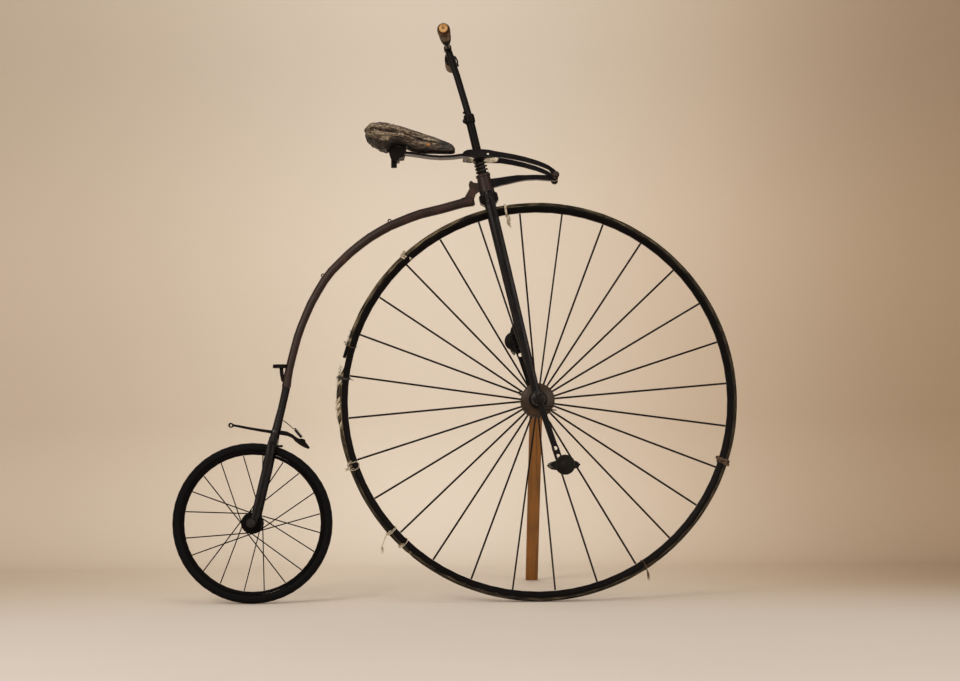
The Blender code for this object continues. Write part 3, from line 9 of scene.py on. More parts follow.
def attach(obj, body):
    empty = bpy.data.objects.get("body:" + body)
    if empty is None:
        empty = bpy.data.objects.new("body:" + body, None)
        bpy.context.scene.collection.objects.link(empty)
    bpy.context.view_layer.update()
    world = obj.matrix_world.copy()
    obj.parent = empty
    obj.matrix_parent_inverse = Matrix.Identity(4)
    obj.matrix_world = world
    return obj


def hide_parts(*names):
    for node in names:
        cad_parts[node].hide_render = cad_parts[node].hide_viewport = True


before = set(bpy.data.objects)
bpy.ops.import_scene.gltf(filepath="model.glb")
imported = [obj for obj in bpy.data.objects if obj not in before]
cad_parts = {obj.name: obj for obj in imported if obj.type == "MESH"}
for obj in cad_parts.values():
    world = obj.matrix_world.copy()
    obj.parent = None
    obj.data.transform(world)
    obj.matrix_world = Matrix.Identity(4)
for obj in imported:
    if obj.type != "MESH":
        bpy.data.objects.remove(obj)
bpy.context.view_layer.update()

# Camera. It stands level on the saddle side, six metres off, with a long lens,
# so that both wheels look almost round. It is turned a hair to the photograph's horizon.
CAMERA_PLACE = (0.06534, -6.15472, 0.66134)
CAMERA_ROLL_DEGREES = -0.46
CAMERA_LENS_MM = 88.40
camera_data = bpy.data.cameras.new("camera")
camera_data.lens = CAMERA_LENS_MM
camera_data.sensor_width = 36.0
camera_data.clip_end = 60.0
camera = bpy.data.objects.new("camera", camera_data)
bpy.context.scene.collection.objects.link(camera)
camera.matrix_world = (
    Matrix.Translation(CAMERA_PLACE)
    @ Matrix.Rotation(math.radians(90.0), 4, "X")
    @ Matrix.Rotation(math.radians(CAMERA_ROLL_DEGREES), 4, "Z")
)
bpy.context.scene.camera = camera
bpy.context.scene.view_settings.view_transform = "Standard"


# Studio. A pale floor runs back and turns up into a warm wall behind the machine.
# It is one wide sheet of paper, with a soft bend where the floor ends.
FLOOR_FRONT = -9.0
FLOOR_BACK = 0.72
BEND_RADIUS = 0.42
WALL_TOP = 5.0
WALL_HALF_WIDTH = 8.0


def linear(red, green, blue):
    """A colour as a screen shows it, 0 to 255, in Blender's linear numbers."""
    out = []
    for value in (red, green, blue):
        share = value / 255.0
        out.append(share / 12.92 if share <= 0.04045 else ((share + 0.055) / 1.055) ** 2.4)
    return (out[0], out[1], out[2], 1.0)


def new_material(name):
    """A material with its node tree and its shader."""
    material = bpy.data.materials.new(name)
    material.use_nodes = True
    tree = material.node_tree
    return material, tree, tree.nodes["Principled BSDF"]


def put(tree, kind, values=None, **settings):
    """A shader node with its settings and plain input values."""
    made = tree.nodes.new("ShaderNode" + kind)
    for key, value in settings.items():
        setattr(made, key, value)
    for key, value in (values or {}).items():
        made.inputs[key].default_value = value
    return made


def place_in(tree, scale=(1.0, 1.0, 1.0), turn=(0.0, 0.0, 0.0)):
    """Coordinates fixed to the piece, in metres, stretched by scale."""
    coordinates = put(tree, "TexCoord")
    mapping = put(tree, "Mapping", {"Scale": scale, "Rotation": turn})
    tree.links.new(coordinates.outputs["Object"], mapping.inputs["Vector"])
    return mapping.outputs["Vector"]


def cloudy(tree, place, scale, detail=3.0, roughness=0.55, distortion=0.0):
    """Soft noise from 0 to 1 at place."""
    sizes = {"Scale": scale, "Detail": detail, "Roughness": roughness, "Distortion": distortion}
    made = put(tree, "TexNoise", sizes)
    tree.links.new(place, made.inputs["Vector"])
    return made.outputs["Fac"]


def spread(tree, source, low, high, to_low=0.0, to_high=1.0):
    """Takes source from low..high to to_low..to_high, held at both ends."""
    made = put(
        tree,
        "MapRange",
        {"From Min": low, "From Max": high, "To Min": to_low, "To Max": to_high},
        interpolation_type="SMOOTHSTEP",
    )
    tree.links.new(source, made.inputs["Value"])
    return made.outputs["Result"]


def blended(tree, factor, first, second):
    """A colour between first and second; each is a colour or the output of a node."""
    made = put(tree, "Mix", data_type="RGBA")
    tree.links.new(factor, made.inputs[0])
    for index, value in ((6, first), (7, second)):
        if isinstance(value, tuple):
            made.inputs[index].default_value = value
        else:
            tree.links.new(value, made.inputs[index])
    return made.outputs[2]


def worked(tree, first, second, operation="MULTIPLY"):
    """One sum of two values, each a number or the output of a node. It multiplies unless told otherwise."""
    made = put(tree, "Math", operation=operation)
    for index, value in enumerate((first, second)):
        if isinstance(value, (int, float)):
            made.inputs[index].default_value = value
        else:
            tree.links.new(value, made.inputs[index])
    return made.outputs[0]


SHEET_HALF_TONES = 2.0
SHADED_WALL = (0.85, 1.6)
FLOOR_TO_WALL = (-0.75, 0.4)
PAPER_SHADING_TONES = ((0.33, (214, 199, 181)), (0.55, (216, 203, 187)), (0.78, (200, 179, 155)))
BEND_STEPS = 16
paper, tree, shader = new_material("studio_paper")
sheet_place = place_in(tree)
axes = put(tree, "SeparateXYZ")
tree.links.new(sheet_place, axes.inputs[0])
# Painted shade: the wall is brightest behind the machine and darker towards both sides, most on the right.
across = put(tree, "ValToRGB")
tree.links.new(spread(tree, axes.outputs["X"], -SHEET_HALF_TONES, SHEET_HALF_TONES), across.inputs[0])
across.color_ramp.interpolation = "B_SPLINE"
across.color_ramp.elements[0].color = linear(182, 163, 142)
across.color_ramp.elements[0].position = 0.05
across.color_ramp.elements[1].color = linear(150, 124, 96)
across.color_ramp.elements[1].position = 0.98
for position, colour in PAPER_SHADING_TONES:
    added = across.color_ramp.elements.new(position)
    added.color = linear(*colour)
floor_tone = blended(tree, cloudy(tree, sheet_place, 1.3, 4.0), linear(196, 184, 172), linear(202, 191, 179))
# Painted shade: the wall darkens towards the top.
shade = spread(tree, axes.outputs["Z"], *SHADED_WALL, 0.0, 0.19)
wall_tone = blended(tree, shade, across.outputs[0], linear(20, 16, 12))
# Towards the back the floor takes on the wall's colour, with its painted side shade.
rise = spread(tree, axes.outputs["Y"], *FLOOR_TO_WALL)
tree.links.new(blended(tree, rise, floor_tone, wall_tone), shader.inputs["Base Color"])
shader.inputs["Roughness"].default_value = 0.85
shader.inputs["Specular IOR Level"].default_value = 0.15
grain = put(tree, "Bump", {"Strength": 0.04, "Distance": 0.001})
tree.links.new(cloudy(tree, sheet_place, 300.0), grain.inputs["Height"])
tree.links.new(grain.outputs[0], shader.inputs["Normal"])
# The paper shows from its face only, so that the machine can be seen from behind.
side_seen = put(tree, "NewGeometry")
clear = put(tree, "BsdfTransparent")
one_sided = put(tree, "MixShader")
tree.links.new(side_seen.outputs["Backfacing"], one_sided.inputs[0])
tree.links.new(shader.outputs[0], one_sided.inputs[1])
tree.links.new(clear.outputs[0], one_sided.inputs[2])
for output in [node for node in tree.nodes if node.type == "OUTPUT_MATERIAL"]:
    tree.links.new(one_sided.outputs[0], output.inputs["Surface"])

profile = [(FLOOR_FRONT, 0.0), (FLOOR_BACK * 0.5, 0.0)]
for step in range(BEND_STEPS + 1):
    angle = math.radians(90.0) * step / BEND_STEPS
    profile.append((FLOOR_BACK + BEND_RADIUS * math.sin(angle), BEND_RADIUS * (1.0 - math.cos(angle))))
profile.append((FLOOR_BACK + BEND_RADIUS, WALL_TOP))
bm = bmesh.new()
columns = []
for part in (-1.0, -0.5, 0.0, 0.5, 1.0):
    columns.append([bm.verts.new((part * WALL_HALF_WIDTH, y, z)) for y, z in profile])
for left, right in zip(columns, columns[1:]):
    for row in range(len(profile) - 1):
        bm.faces.new((left[row], right[row], right[row + 1], left[row + 1])).smooth = True
data = bpy.data.meshes.new("studio_sheet")
bm.to_mesh(data)
bm.free()
data.materials.append(paper)
studio_sheet = bpy.data.objects.new("studio_sheet", data)
bpy.context.scene.collection.objects.link(studio_sheet)


# Lamps. Two broad soft boxes stand in front, the stronger one high on the left,
# a third hangs over the machine, and the room itself gives the rest.
def soft_box(name, place, aim, width, watts, warmth):
    """A square lamp at place, turned to face aim."""
    lamp = bpy.data.lights.new(name, "AREA")
    lamp.size = width
    lamp.energy = watts
    lamp.color = warmth
    obj = bpy.data.objects.new(name, lamp)
    bpy.context.scene.collection.objects.link(obj)
    direction = Vector(aim) - Vector(place)
    obj.matrix_world = Matrix.Translation(place) @ direction.to_track_quat("-Z", "Y").to_matrix().to_4x4()


soft_box("key_box", (-2.6, -3.6, 2.8), (0.0, 0.2, 0.7), 2.2, 134.0, (1.0, 0.985, 0.96))
soft_box("fill_box", (3.2, -3.8, 1.8), (0.3, 0.2, 0.7), 2.4, 98.0, (1.0, 0.985, 0.96))
soft_box("top_box", (-0.2, -0.4, 3.6), (0.0, 0.0, 0.5), 2.0, 26.0, (1.0, 0.99, 0.97))
world = bpy.data.worlds.new("room")
bpy.context.scene.world = world
world.use_nodes = True
world.node_tree.nodes["Background"].inputs["Color"].default_value = (1.0, 0.98, 0.95, 1.0)
world.node_tree.nodes["Background"].inputs["Strength"].default_value = 0.46


# Backbone. A tapered iron tube bent round the large wheel, with the steering head brazed
# to its top. The black finish has gone brown and thin, with rust showing in freckles.
def iron_finish(name, black, rust, bare, rusted, worn, gloss, pits=0.25, speckle=0.0, shine=0.14):
    """Old black finish over iron. rusted and worn are shares of the surface from 0 to 1.

    gloss is the lowest roughness, pits the depth of the pitting, speckle the share of small
    bright painted glints, and shine how strongly the finish reflects.
    """
    material, tree, shader = new_material(name)
    place = place_in(tree)
    broad = cloudy(tree, place, 26.0, 5.0, 0.6)
    fine = cloudy(tree, place, 380.0, 3.0, 0.65)
    freckles = worked(tree, worked(tree, broad, 0.62), worked(tree, fine, 0.38), "ADD")
    rust_mask = spread(tree, freckles, 0.66 - 0.3 * rusted, 0.74 - 0.2 * rusted)
    paler_black = tuple(value * 1.55 for value in black[:3]) + (1.0,)
    tone = blended(tree, spread(tree, broad, 0.35, 0.7), black, paler_black)
    colour = blended(tree, rust_mask, tone, rust)
    bevel = put(tree, "Bevel", {"Radius": 0.0011}, samples=4)
    facing = put(tree, "NewGeometry")
    edge = put(tree, "VectorMath", operation="DOT_PRODUCT")
    tree.links.new(bevel.outputs[0], edge.inputs[0])
    tree.links.new(facing.outputs["Normal"], edge.inputs[1])
    rubbed_and_glints = spread(tree, edge.outputs["Value"], 0.998 - 0.1 * (1.0 - worn), 0.86, 0.0, 1.0)
    rubbed_and_glints = worked(tree, rubbed_and_glints, spread(tree, fine, 0.62 - 0.25 * worn, 0.7))
    # Painted glints: scattered specks of pale bare-metal colour stand for the small lights that the pitted
    # black catches.
    glints = spread(tree, cloudy(tree, place, 620.0, 2.0), 0.70 - 0.12 * speckle, 0.78 - 0.1 * speckle)
    rubbed_and_glints = worked(tree, rubbed_and_glints, worked(tree, glints, speckle), "MAXIMUM")
    colour = blended(tree, rubbed_and_glints, colour, bare)
    tree.links.new(colour, shader.inputs["Base Color"])
    tree.links.new(spread(tree, rubbed_and_glints, 0.0, 1.0, 0.05, 0.75), shader.inputs["Metallic"])
    rough = spread(tree, freckles, 0.35, 0.7, gloss, gloss + 0.28)
    tree.links.new(rough, shader.inputs["Roughness"])
    shader.inputs["Specular IOR Level"].default_value = shine
    shader.inputs["Specular Tint"].default_value = (1.0, 0.86, 0.76, 1.0)
    bump = put(tree, "Bump", {"Strength": pits, "Distance": 0.0012})
    tree.links.new(worked(tree, freckles, worked(tree, rust_mask, 0.25), "ADD"), bump.inputs["Height"])
    tree.links.new(bevel.outputs[0], bump.inputs["Normal"])
    tree.links.new(bump.outputs[0], shader.inputs["Normal"])
    return material


def finish_node(names, material):
    """A carried-over node keeps its mesh and gets the better finish."""
    for name in names:
        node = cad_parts[name]
        node.data.materials.clear()
        node.data.materials.append(material)


BROWN_BLACK = linear(36, 24, 20)
BROWN_RUST = linear(66, 42, 31)
BARE_IRON = linear(104, 92, 82)
backbone_iron = iron_finish(
    "backbone_brown_black", BROWN_BLACK, BROWN_RUST, BARE_IRON,
    rusted=0.35, worn=0.35, gloss=0.34, pits=0.2, shine=0.2,
)
finish_node(("backbone", "steering_head"), backbone_iron)


# Rear fork, brake and step. Forged blades riveted to the end of the backbone, a spoon brake lever
# on a pivot between them, and a mounting step with its clip. All of it is black, dull and rusted.
plain_iron = iron_finish(
    "forged_black", linear(11, 8, 7), linear(40, 26, 20), BARE_IRON,
    rusted=0.3, worn=0.25, gloss=0.4, pits=0.25, shine=0.07,
)
fork_iron = iron_finish(
    "fork_black", linear(8, 7, 8), linear(34, 24, 21), linear(92, 92, 102),
    rusted=0.2, worn=0.3, gloss=0.24, pits=0.35, speckle=0.32, shine=0.14,
)
finish_node(("mounting_step", "brake_lever", "brake_spring"), plain_iron)
finish_node(("rear_fork_crown", "rear_blade_left", "rear_blade_right"), fork_iron)
bright_iron = iron_finish(
    "worn_steel", linear(16, 13, 12), linear(52, 34, 25), linear(128, 118, 108),
    rusted=0.3, worn=0.5, gloss=0.28, pits=0.25, shine=0.35,
)
finish_node(("brake_pivot", "rear_axle", "coil_spring"), bright_iron)


# Rear wheel. A black iron rim with twenty thin wires laced to a small hub,
# and a round solid rubber tyre that is pressed and glued into the rim.
rear_iron = iron_finish(
    "rear_wheel_black", linear(7, 5, 5), linear(28, 18, 14), linear(44, 34, 30),
    rusted=0.25, worn=0.15, gloss=0.42, pits=0.25, shine=0.05,
)
finish_node(("rear_rim", "rear_hub"), rear_iron)


def rubber_finish(name, black, dust, dusty, cracked):
    """Hard old rubber. dusty is the share of pale bloom and cracked the strength of the fine cracks."""
    material, tree, shader = new_material(name)
    place = place_in(tree)
    broad = cloudy(tree, place, 30.0, 4.0)
    fine = cloudy(tree, place, 500.0, 2.0)
    patches = worked(tree, broad, worked(tree, fine, 0.4), "ADD")
    bloom = spread(tree, patches, 0.95 - 0.4 * dusty, 1.0 - 0.1 * dusty)
    tree.links.new(blended(tree, bloom, black, dust), shader.inputs["Base Color"])
    tree.links.new(spread(tree, fine, 0.3, 0.7, 0.5, 0.75), shader.inputs["Roughness"])
    shader.inputs["Specular IOR Level"].default_value = 0.07
    cells = put(tree, "TexVoronoi", {"Scale": 260.0}, feature="DISTANCE_TO_EDGE")
    tree.links.new(place, cells.inputs["Vector"])
    lines = spread(tree, cells.outputs["Distance"], 0.0, 0.06)
    bump = put(tree, "Bump", {"Strength": cracked, "Distance": 0.0008})
    tree.links.new(worked(tree, lines, fine, "ADD"), bump.inputs["Height"])
    tree.links.new(bump.outputs[0], shader.inputs["Normal"])
    return material


rear_rubber = rubber_finish("rear_tyre_rubber", linear(8, 6, 6), linear(24, 19, 17), 0.2, 0.12)
finish_node(("rear_tyre",), rear_rubber)


# Front wheel. A rolled iron rim, twenty-eight straight steel spokes and a cast hub.
# The spokes are screwed into the hub's two flanges and still black; the hub shows brown metal.
rim_iron = iron_finish(
    "front_rim_black", linear(8, 6, 6), linear(30, 20, 15), BARE_IRON,
    rusted=0.25, worn=0.12, gloss=0.34, pits=0.25, shine=0.06,
)
finish_node(("front_rim",), rim_iron)
LEAN_DEGREES = -4.5
MACHINE_SHIFT = (0.210298, -0.194588, 0.000311)
MACHINE_PLACE = Matrix.Translation(MACHINE_SHIFT) @ Matrix.Rotation(math.radians(LEAN_DEGREES), 4, "X")
AXLE_HEIGHT = 0.508
FLANGE_EDGE = 0.0450
FLANGE_FADE = 0.002
SPOKE_BLACK = linear(8, 3, 2)
hub_bronze = iron_finish(
    "hub_bronze_brown", linear(44, 33, 23), linear(74, 50, 32), linear(132, 112, 84),
    rusted=0.4, worn=0.3, gloss=0.3, pits=0.25, shine=0.2,
)
tree = hub_bronze.node_tree
shader = tree.nodes["Principled BSDF"]
to_axle = Matrix.Translation((0.0, 0.0, -AXLE_HEIGHT)) @ MACHINE_PLACE.inverted()
from_axle = put(tree, "Mapping", {"Location": to_axle.translation, "Rotation": to_axle.to_euler()})
tree.links.new(place_in(tree), from_axle.inputs["Vector"])
in_plane = put(tree, "VectorMath", operation="MULTIPLY")
in_plane.inputs[1].default_value = (1.0, 0.0, 1.0)
tree.links.new(from_axle.outputs["Vector"], in_plane.inputs[0])
reach = put(tree, "VectorMath", operation="LENGTH")
tree.links.new(in_plane.outputs["Vector"], reach.inputs[0])
spokes = spread(tree, reach.outputs["Value"], FLANGE_EDGE, FLANGE_EDGE + FLANGE_FADE)
hub_tone = shader.inputs["Base Color"].links[0].from_socket
tree.links.new(blended(tree, spokes, hub_tone, SPOKE_BLACK), shader.inputs["Base Color"])
hub_metal = shader.inputs["Metallic"].links[0].from_socket
bare_hub = worked(tree, hub_metal, worked(tree, 1.0, spokes, "SUBTRACT"))
tree.links.new(bare_hub, shader.inputs["Metallic"])
finish_node(("front_hub",), hub_bronze)


# Front tyre. Solid rubber that has gone hard, split along both sides and crazed on the tread.
# A stretch has broken away behind, where the bare rim shows, and the ends are frayed.
TYRE_STEPS = 720
TYRE_SECTION = (
    (0.4982, -0.0102), (0.5005, -0.0109), (0.5035, -0.0108), (0.5058, -0.0098),
    (0.5072, -0.0072), (0.5079, -0.0035), (0.5079, 0.0035), (0.5072, 0.0072),
    (0.5058, 0.0098), (0.5035, 0.0108), (0.5005, 0.0109), (0.4982, 0.0102),
)
TYRE_INNER = TYRE_SECTION[0][0]
TYRE_THICKNESS = 0.0097
BREAK_FROM = 163.2
BREAK_TO = 169.7
LOOSE_MIDDLE = 178.0
LOOSE_HALF = 9.0
PALE_SCARS = (
    (98.6, 0.9), (161.6, 1.5), (172.0, 2.0), (174.6, 1.6), (180.2, 1.2),
    (182.6, 1.3), (187.0, 2.0), (199.0, 1.0), (226.2, 1.3), (229.6, 0.9),
)


def on_wheel(radius, angle, across):
    """A point of the front wheel, angle degrees from dead ahead, up over the top."""
    turn = math.radians(angle)
    return MACHINE_PLACE @ Vector((radius * math.cos(turn), across, AXLE_HEIGHT + radius * math.sin(turn)))


def new_piece(bm, name, material, body, sharp=50.0):
    """Turns a mesh into a piece that rides on a body."""
    bmesh.ops.recalc_face_normals(bm, faces=bm.faces)
    data = bpy.data.meshes.new(name)
    bm.to_mesh(data)
    bm.free()
    data.materials.append(material)
    data.shade_smooth()
    data.set_sharp_from_angle(angle=math.radians(sharp))
    obj = bpy.data.objects.new(name, data)
    bpy.context.scene.collection.objects.link(obj)
    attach(obj, body)
    return obj


def bump_at(angle, middle, half):
    """1 at middle, falling to 0 at half degrees away."""
    away = abs((angle - middle + 180.0) % 360.0 - 180.0)
    return max(0.0, 1.0 - away / half)


tyre_rubber, tree, shader = new_material("front_tyre_rubber")
place = place_in(tree)
broad = cloudy(tree, place, 34.0, 5.0, 0.6)
fine = cloudy(tree, place, 420.0, 3.0, 0.7)
scars = put(tree, "Attribute", attribute_name="scar")
weathered = put(tree, "Attribute", attribute_name="weathered")
lane = put(tree, "Attribute", attribute_name="lane")
run = put(tree, "Attribute", attribute_name="run")
grid = put(tree, "CombineXYZ")
tree.links.new(worked(tree, run.outputs["Fac"], 22.0), grid.inputs["X"])
tree.links.new(worked(tree, lane.outputs["Fac"], 11.0), grid.inputs["Y"])
furrows = cloudy(tree, grid.outputs[0], 1.0, 4.0, 0.6)
base = blended(tree, spread(tree, broad, 0.4, 0.62), linear(13, 10, 8), linear(34, 28, 21))
grey = blended(tree, spread(tree, furrows, 0.44, 0.6), linear(30, 23, 15), linear(112, 96, 70))
base = blended(tree, weathered.outputs["Fac"], base, grey)
pale = blended(tree, spread(tree, fine, 0.3, 0.7), linear(158, 140, 112), linear(88, 72, 54))
roughened = worked(tree, scars.outputs["Fac"], spread(tree, fine, 0.2, 0.8, -0.35, 0.35), "ADD")
torn = spread(tree, roughened, 0.42, 0.62)
line = worked(tree, worked(tree, weathered.outputs["Fac"], 0.85), spread(tree, furrows, 0.57, 0.64))
crumbs = spread(tree, cloudy(tree, place, 700.0, 2.0), 0.68, 0.74, 0.0, 0.4)
marks = worked(tree, worked(tree, torn, line, "MAXIMUM"), crumbs, "MAXIMUM")
tree.links.new(blended(tree, marks, base, pale), shader.inputs["Base Color"])
tree.links.new(spread(tree, broad, 0.3, 0.7, 0.5, 0.72), shader.inputs["Roughness"])
shader.inputs["Specular IOR Level"].default_value = 0.07
cells = put(tree, "TexVoronoi", {"Scale": 240.0}, feature="DISTANCE_TO_EDGE")
tree.links.new(place, cells.inputs["Vector"])
crazed = worked(tree, spread(tree, cells.outputs["Distance"], 0.0, 0.07), fine, "ADD")
bump = put(tree, "Bump", {"Strength": 0.45, "Distance": 0.0008})
tree.links.new(crazed, bump.inputs["Height"])
tree.links.new(bump.outputs[0], shader.inputs["Normal"])

bm = bmesh.new()
scar_layer = bm.verts.layers.float.new("scar")
weathered_layer = bm.verts.layers.float.new("weathered")
lane_layer = bm.verts.layers.float.new("lane")
run_layer = bm.verts.layers.float.new("run")
rings = []
for step in range(TYRE_STEPS):
    angle = 360.0 * step / TYRE_STEPS
    ragged = 0.5 * noise.noise(Vector((step * 0.9, 3.1, 0.0)))
    gone = BREAK_FROM + ragged < angle < BREAK_TO - ragged
    frayed = max(bump_at(angle, middle, half) for middle, half in PALE_SCARS)
    worn = 0.0009 * (0.5 + 0.5 * noise.noise(Vector((step * 0.11, 0.0, 7.7)))) + 0.0014 * frayed
    nick = max(0.0, noise.noise(Vector((step * 0.55, 5.0, 2.0))) - 0.42) * 0.006
    aged = max(
        bump_at(angle, 130.0, 42.0) ** 0.35,
        0.8 * bump_at(angle, 184.0, 20.0) ** 0.5,
        0.4 * bump_at(angle, 60.0, 30.0) ** 0.5,
        0.25,
    )
    past_break = BREAK_TO - 0.6 < angle < BREAK_TO + 3.0
    risen = min(1.0, max(0.15, (angle - BREAK_TO) / 3.0)) if past_break else 1.0
    loose = bump_at(angle, LOOSE_MIDDLE, LOOSE_HALF)
    standing_off = 0.0042 * loose ** 0.5 + 0.0016 * bump_at(angle, 190.0, 12.0)
    ring = []
    for index, (radius, across) in enumerate(TYRE_SECTION):
        height = radius - TYRE_INNER
        chip = 0.5 + 0.5 * noise.noise(Vector((step * 0.35, index * 1.7, 1.0)))
        height *= 0.12 if gone else risen + (standing_off - worn - nick * chip) / TYRE_THICKNESS
        vertex = bm.verts.new(on_wheel(TYRE_INNER + height, angle, across * (0.93 if gone else 1.0)))
        vertex[scar_layer] = frayed * (0.4 + 0.6 * chip)
        vertex[weathered_layer] = aged
        vertex[lane_layer] = index / (len(TYRE_SECTION) - 1)
        vertex[run_layer] = math.radians(angle) * AXLE_HEIGHT
        ring.append(vertex)
    rings.append(ring)
for ring, after in zip(rings, rings[1:] + rings[:1]):
    for index in range(len(ring)):
        beside = (index + 1) % len(ring)
        bm.faces.new((ring[index], ring[beside], after[beside], after[index]))
tyre = new_piece(bm, "front_tyre_old_rubber", tyre_rubber, "front_wheel")
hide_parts("front_tyre")


# Tyre ties. Strips of cloth and turns of string hold the loose rubber on its rim.
# They are knotted round rim and tyre together, with frayed ends.
SIDEWAYS = MACHINE_PLACE.to_3x3() @ Vector((0.0, 1.0, 0.0))


def swept(bm, points, sizes, sides=7, flat=1.0, facing=None):
    """A closed tube through the points, of half widths sizes. flat thins it along facing."""
    rings = []
    upward = facing
    for index, point in enumerate(points):
        along = (points[min(index + 1, len(points) - 1)] - points[max(index - 1, 0)]).normalized()
        if upward is None:
            upward = along.orthogonal()
        up = (facing or upward) - along * (facing or upward).dot(along)
        up.normalize()
        upward = up
        out = along.cross(up)
        ring = []
        for side in range(sides):
            angle = math.tau * side / sides
            beside = out * math.cos(angle) * sizes[index]
            above = up * math.sin(angle) * sizes[index] * flat
            ring.append(bm.verts.new(point + beside + above))
        rings.append(ring)
    for low, high in zip(rings, rings[1:]):
        for side in range(sides):
            beside = (side + 1) % sides
            bm.faces.new((low[side], low[beside], high[beside], high[side]))
    bm.faces.new(rings[0][::-1])
    bm.faces.new(rings[-1])


LOOP_MIDDLE = 0.4957
LOOP_HALF_WIDTH = 0.0131
LOOP_HALF_HEIGHT = 0.0137
STRING_STEPS = 36
CLOTH_STEPS = 32.0


def round_the_rim(angle, share, lift=0.0):
    """A point of the loop round rim and tyre.

    share is 0 on the near side, 0.25 on the tread and 0.75 inside the rim.
    """
    turn = math.tau * share
    across = math.copysign(abs(math.cos(turn)) ** 0.5, math.cos(turn)) * (LOOP_HALF_WIDTH + lift)
    up = math.copysign(abs(math.sin(turn)) ** 0.5, math.sin(turn)) * (LOOP_HALF_HEIGHT + lift)
    return on_wheel(LOOP_MIDDLE + up, angle, -across)


def string_tie(bm, angle, turns, radius, lean, seed):
    """Turns of string round rim and tyre, drawn a little aslant."""
    dice = random.Random(seed)
    points = []
    steps = int(turns * STRING_STEPS)
    wander = [dice.uniform(-0.12, 0.12) for _ in range(steps + 1)]
    for step in range(steps + 1):
        share = step / STRING_STEPS
        slant = lean * math.cos(math.tau * share) + wander[step]
        points.append(round_the_rim(angle + slant + (share - turns / 2.0) * 0.32, share, radius))
    swept(bm, points, [radius] * len(points), 6)


def any_way(dice):
    """A random step in any direction."""
    return Vector((dice.uniform(-1, 1), dice.uniform(-1, 1), dice.uniform(-1, 1)))


def tuft(bm, root, way, count, length, spread_out, radius, seed):
    """Loose fibres that leave one root, fanning round a direction and drooping a little."""
    dice = random.Random(seed)
    for _ in range(count):
        heading = (way + any_way(dice) * spread_out).normalized()
        reach = length * dice.uniform(0.55, 1.0)
        start = root + any_way(dice) * radius * 2.0
        droop = Vector((0.0, 0.0, -0.16 * reach))
        bend = any_way(dice) * reach * 0.16
        points = []
        for step in range(6):
            share = step / 5.0
            straight = start + heading * reach * share
            points.append(straight + droop * share * share + bend * math.sin(math.pi * share) * 0.5)
        swept(bm, points, [radius * (1.0 - 0.75 * step / 5.0) for step in range(6)], 4)


def cloth_strip(bm, points, width, seed):
    """A narrow torn strip of cloth with uneven edges."""
    dice = random.Random(seed)
    sizes = [width * dice.uniform(0.75, 1.1) for _ in points]
    swept(bm, points, sizes, 8, 0.22, SIDEWAYS)


def knot(bm, middle, radius, seed):
    """A pulled knot: three loops of the string through each other."""
    dice = random.Random(seed)
    for loop in range(3):
        axis = any_way(dice).normalized()
        first = axis.orthogonal().normalized()
        second = axis.cross(first)
        points = []
        for step in range(15):
            angle = math.tau * step / 14 * 0.98
            points.append(middle + (first * math.cos(angle) + second * math.sin(angle) * 0.7) * radius)
        swept(bm, points, [radius * 0.42] * 15, 6)


def cloth_finish(name, light, dark, scale):
    """String or torn cloth, greyed and soiled in patches, with its twist as fine ribs that are darker in their
    grooves.
    """
    material, tree, shader = new_material(name)
    place = place_in(tree)
    soil = cloudy(tree, place, 120.0, 4.0, 0.6)
    twist = {"Scale": scale, "Distortion": 2.5, "Detail": 2.0}
    ribs = put(tree, "TexWave", twist, bands_direction="DIAGONAL")
    tree.links.new(place, ribs.inputs["Vector"])
    tone = worked(tree, worked(tree, soil, 0.75), worked(tree, ribs.outputs["Fac"], 0.25), "ADD")
    tree.links.new(blended(tree, spread(tree, tone, 0.36, 0.66), dark, light), shader.inputs["Base Color"])
    tree.links.new(spread(tree, soil, 0.3, 0.7, 0.98, 0.86), shader.inputs["Roughness"])
    bump = put(tree, "Bump", {"Strength": 0.5, "Distance": 0.0005})
    tree.links.new(ribs.outputs["Fac"], bump.inputs["Height"])
    tree.links.new(bump.outputs[0], shader.inputs["Normal"])
    return material


cream_cloth = cloth_finish("tie_cream_cloth", linear(206, 190, 164), linear(132, 108, 80), 480.0)
brown_cord = cloth_finish("tie_brown_cord", linear(112, 84, 56), linear(40, 27, 18), 620.0)
dark_cord = cloth_finish("tie_dark_cord", linear(78, 66, 54), linear(26, 21, 17), 620.0)
down = Vector((0.0, 0.0, -1.0))


def outward(angle):
    """Straight out from the axle at an angle of the front wheel."""
    return on_wheel(1.0, angle, 0.0) - on_wheel(0.0, 0.0, 0.0)


def finish_tie(bm, name, material):
    """Every tie turns with the front wheel and belongs with its tyre."""
    new_piece(bm, name, material, "front_wheel")


TOP_TIE = 98.9
bm = bmesh.new()
loop = [round_the_rim(TOP_TIE, share / CLOTH_STEPS, 0.0008) for share in range(-8, 17)]
cloth_strip(bm, loop, 0.0026, 11)
hanging = round_the_rim(TOP_TIE, -0.25, 0.001)
tail = []
for k in range(8):
    forward = 0.0012 * k + 0.0022 * math.sin(k * 0.9)
    tail.append(hanging + Vector((forward, -0.0015 - 0.0012 * math.sin(k * 1.1), -0.0034 * k)))
cloth_strip(bm, tail, 0.0046, 12)
cloth_strip(bm, [point + Vector((0.0026, 0.0016, 0.0)) for point in tail[:6]], 0.0036, 14)
tuft(bm, tail[-1], down * 2.0 + Vector((0.5, 0.0, 0.0)), 26, 0.008, 0.6, 0.0005, 13)
finish_tie(bm, "tie_top_cloth", cream_cloth)

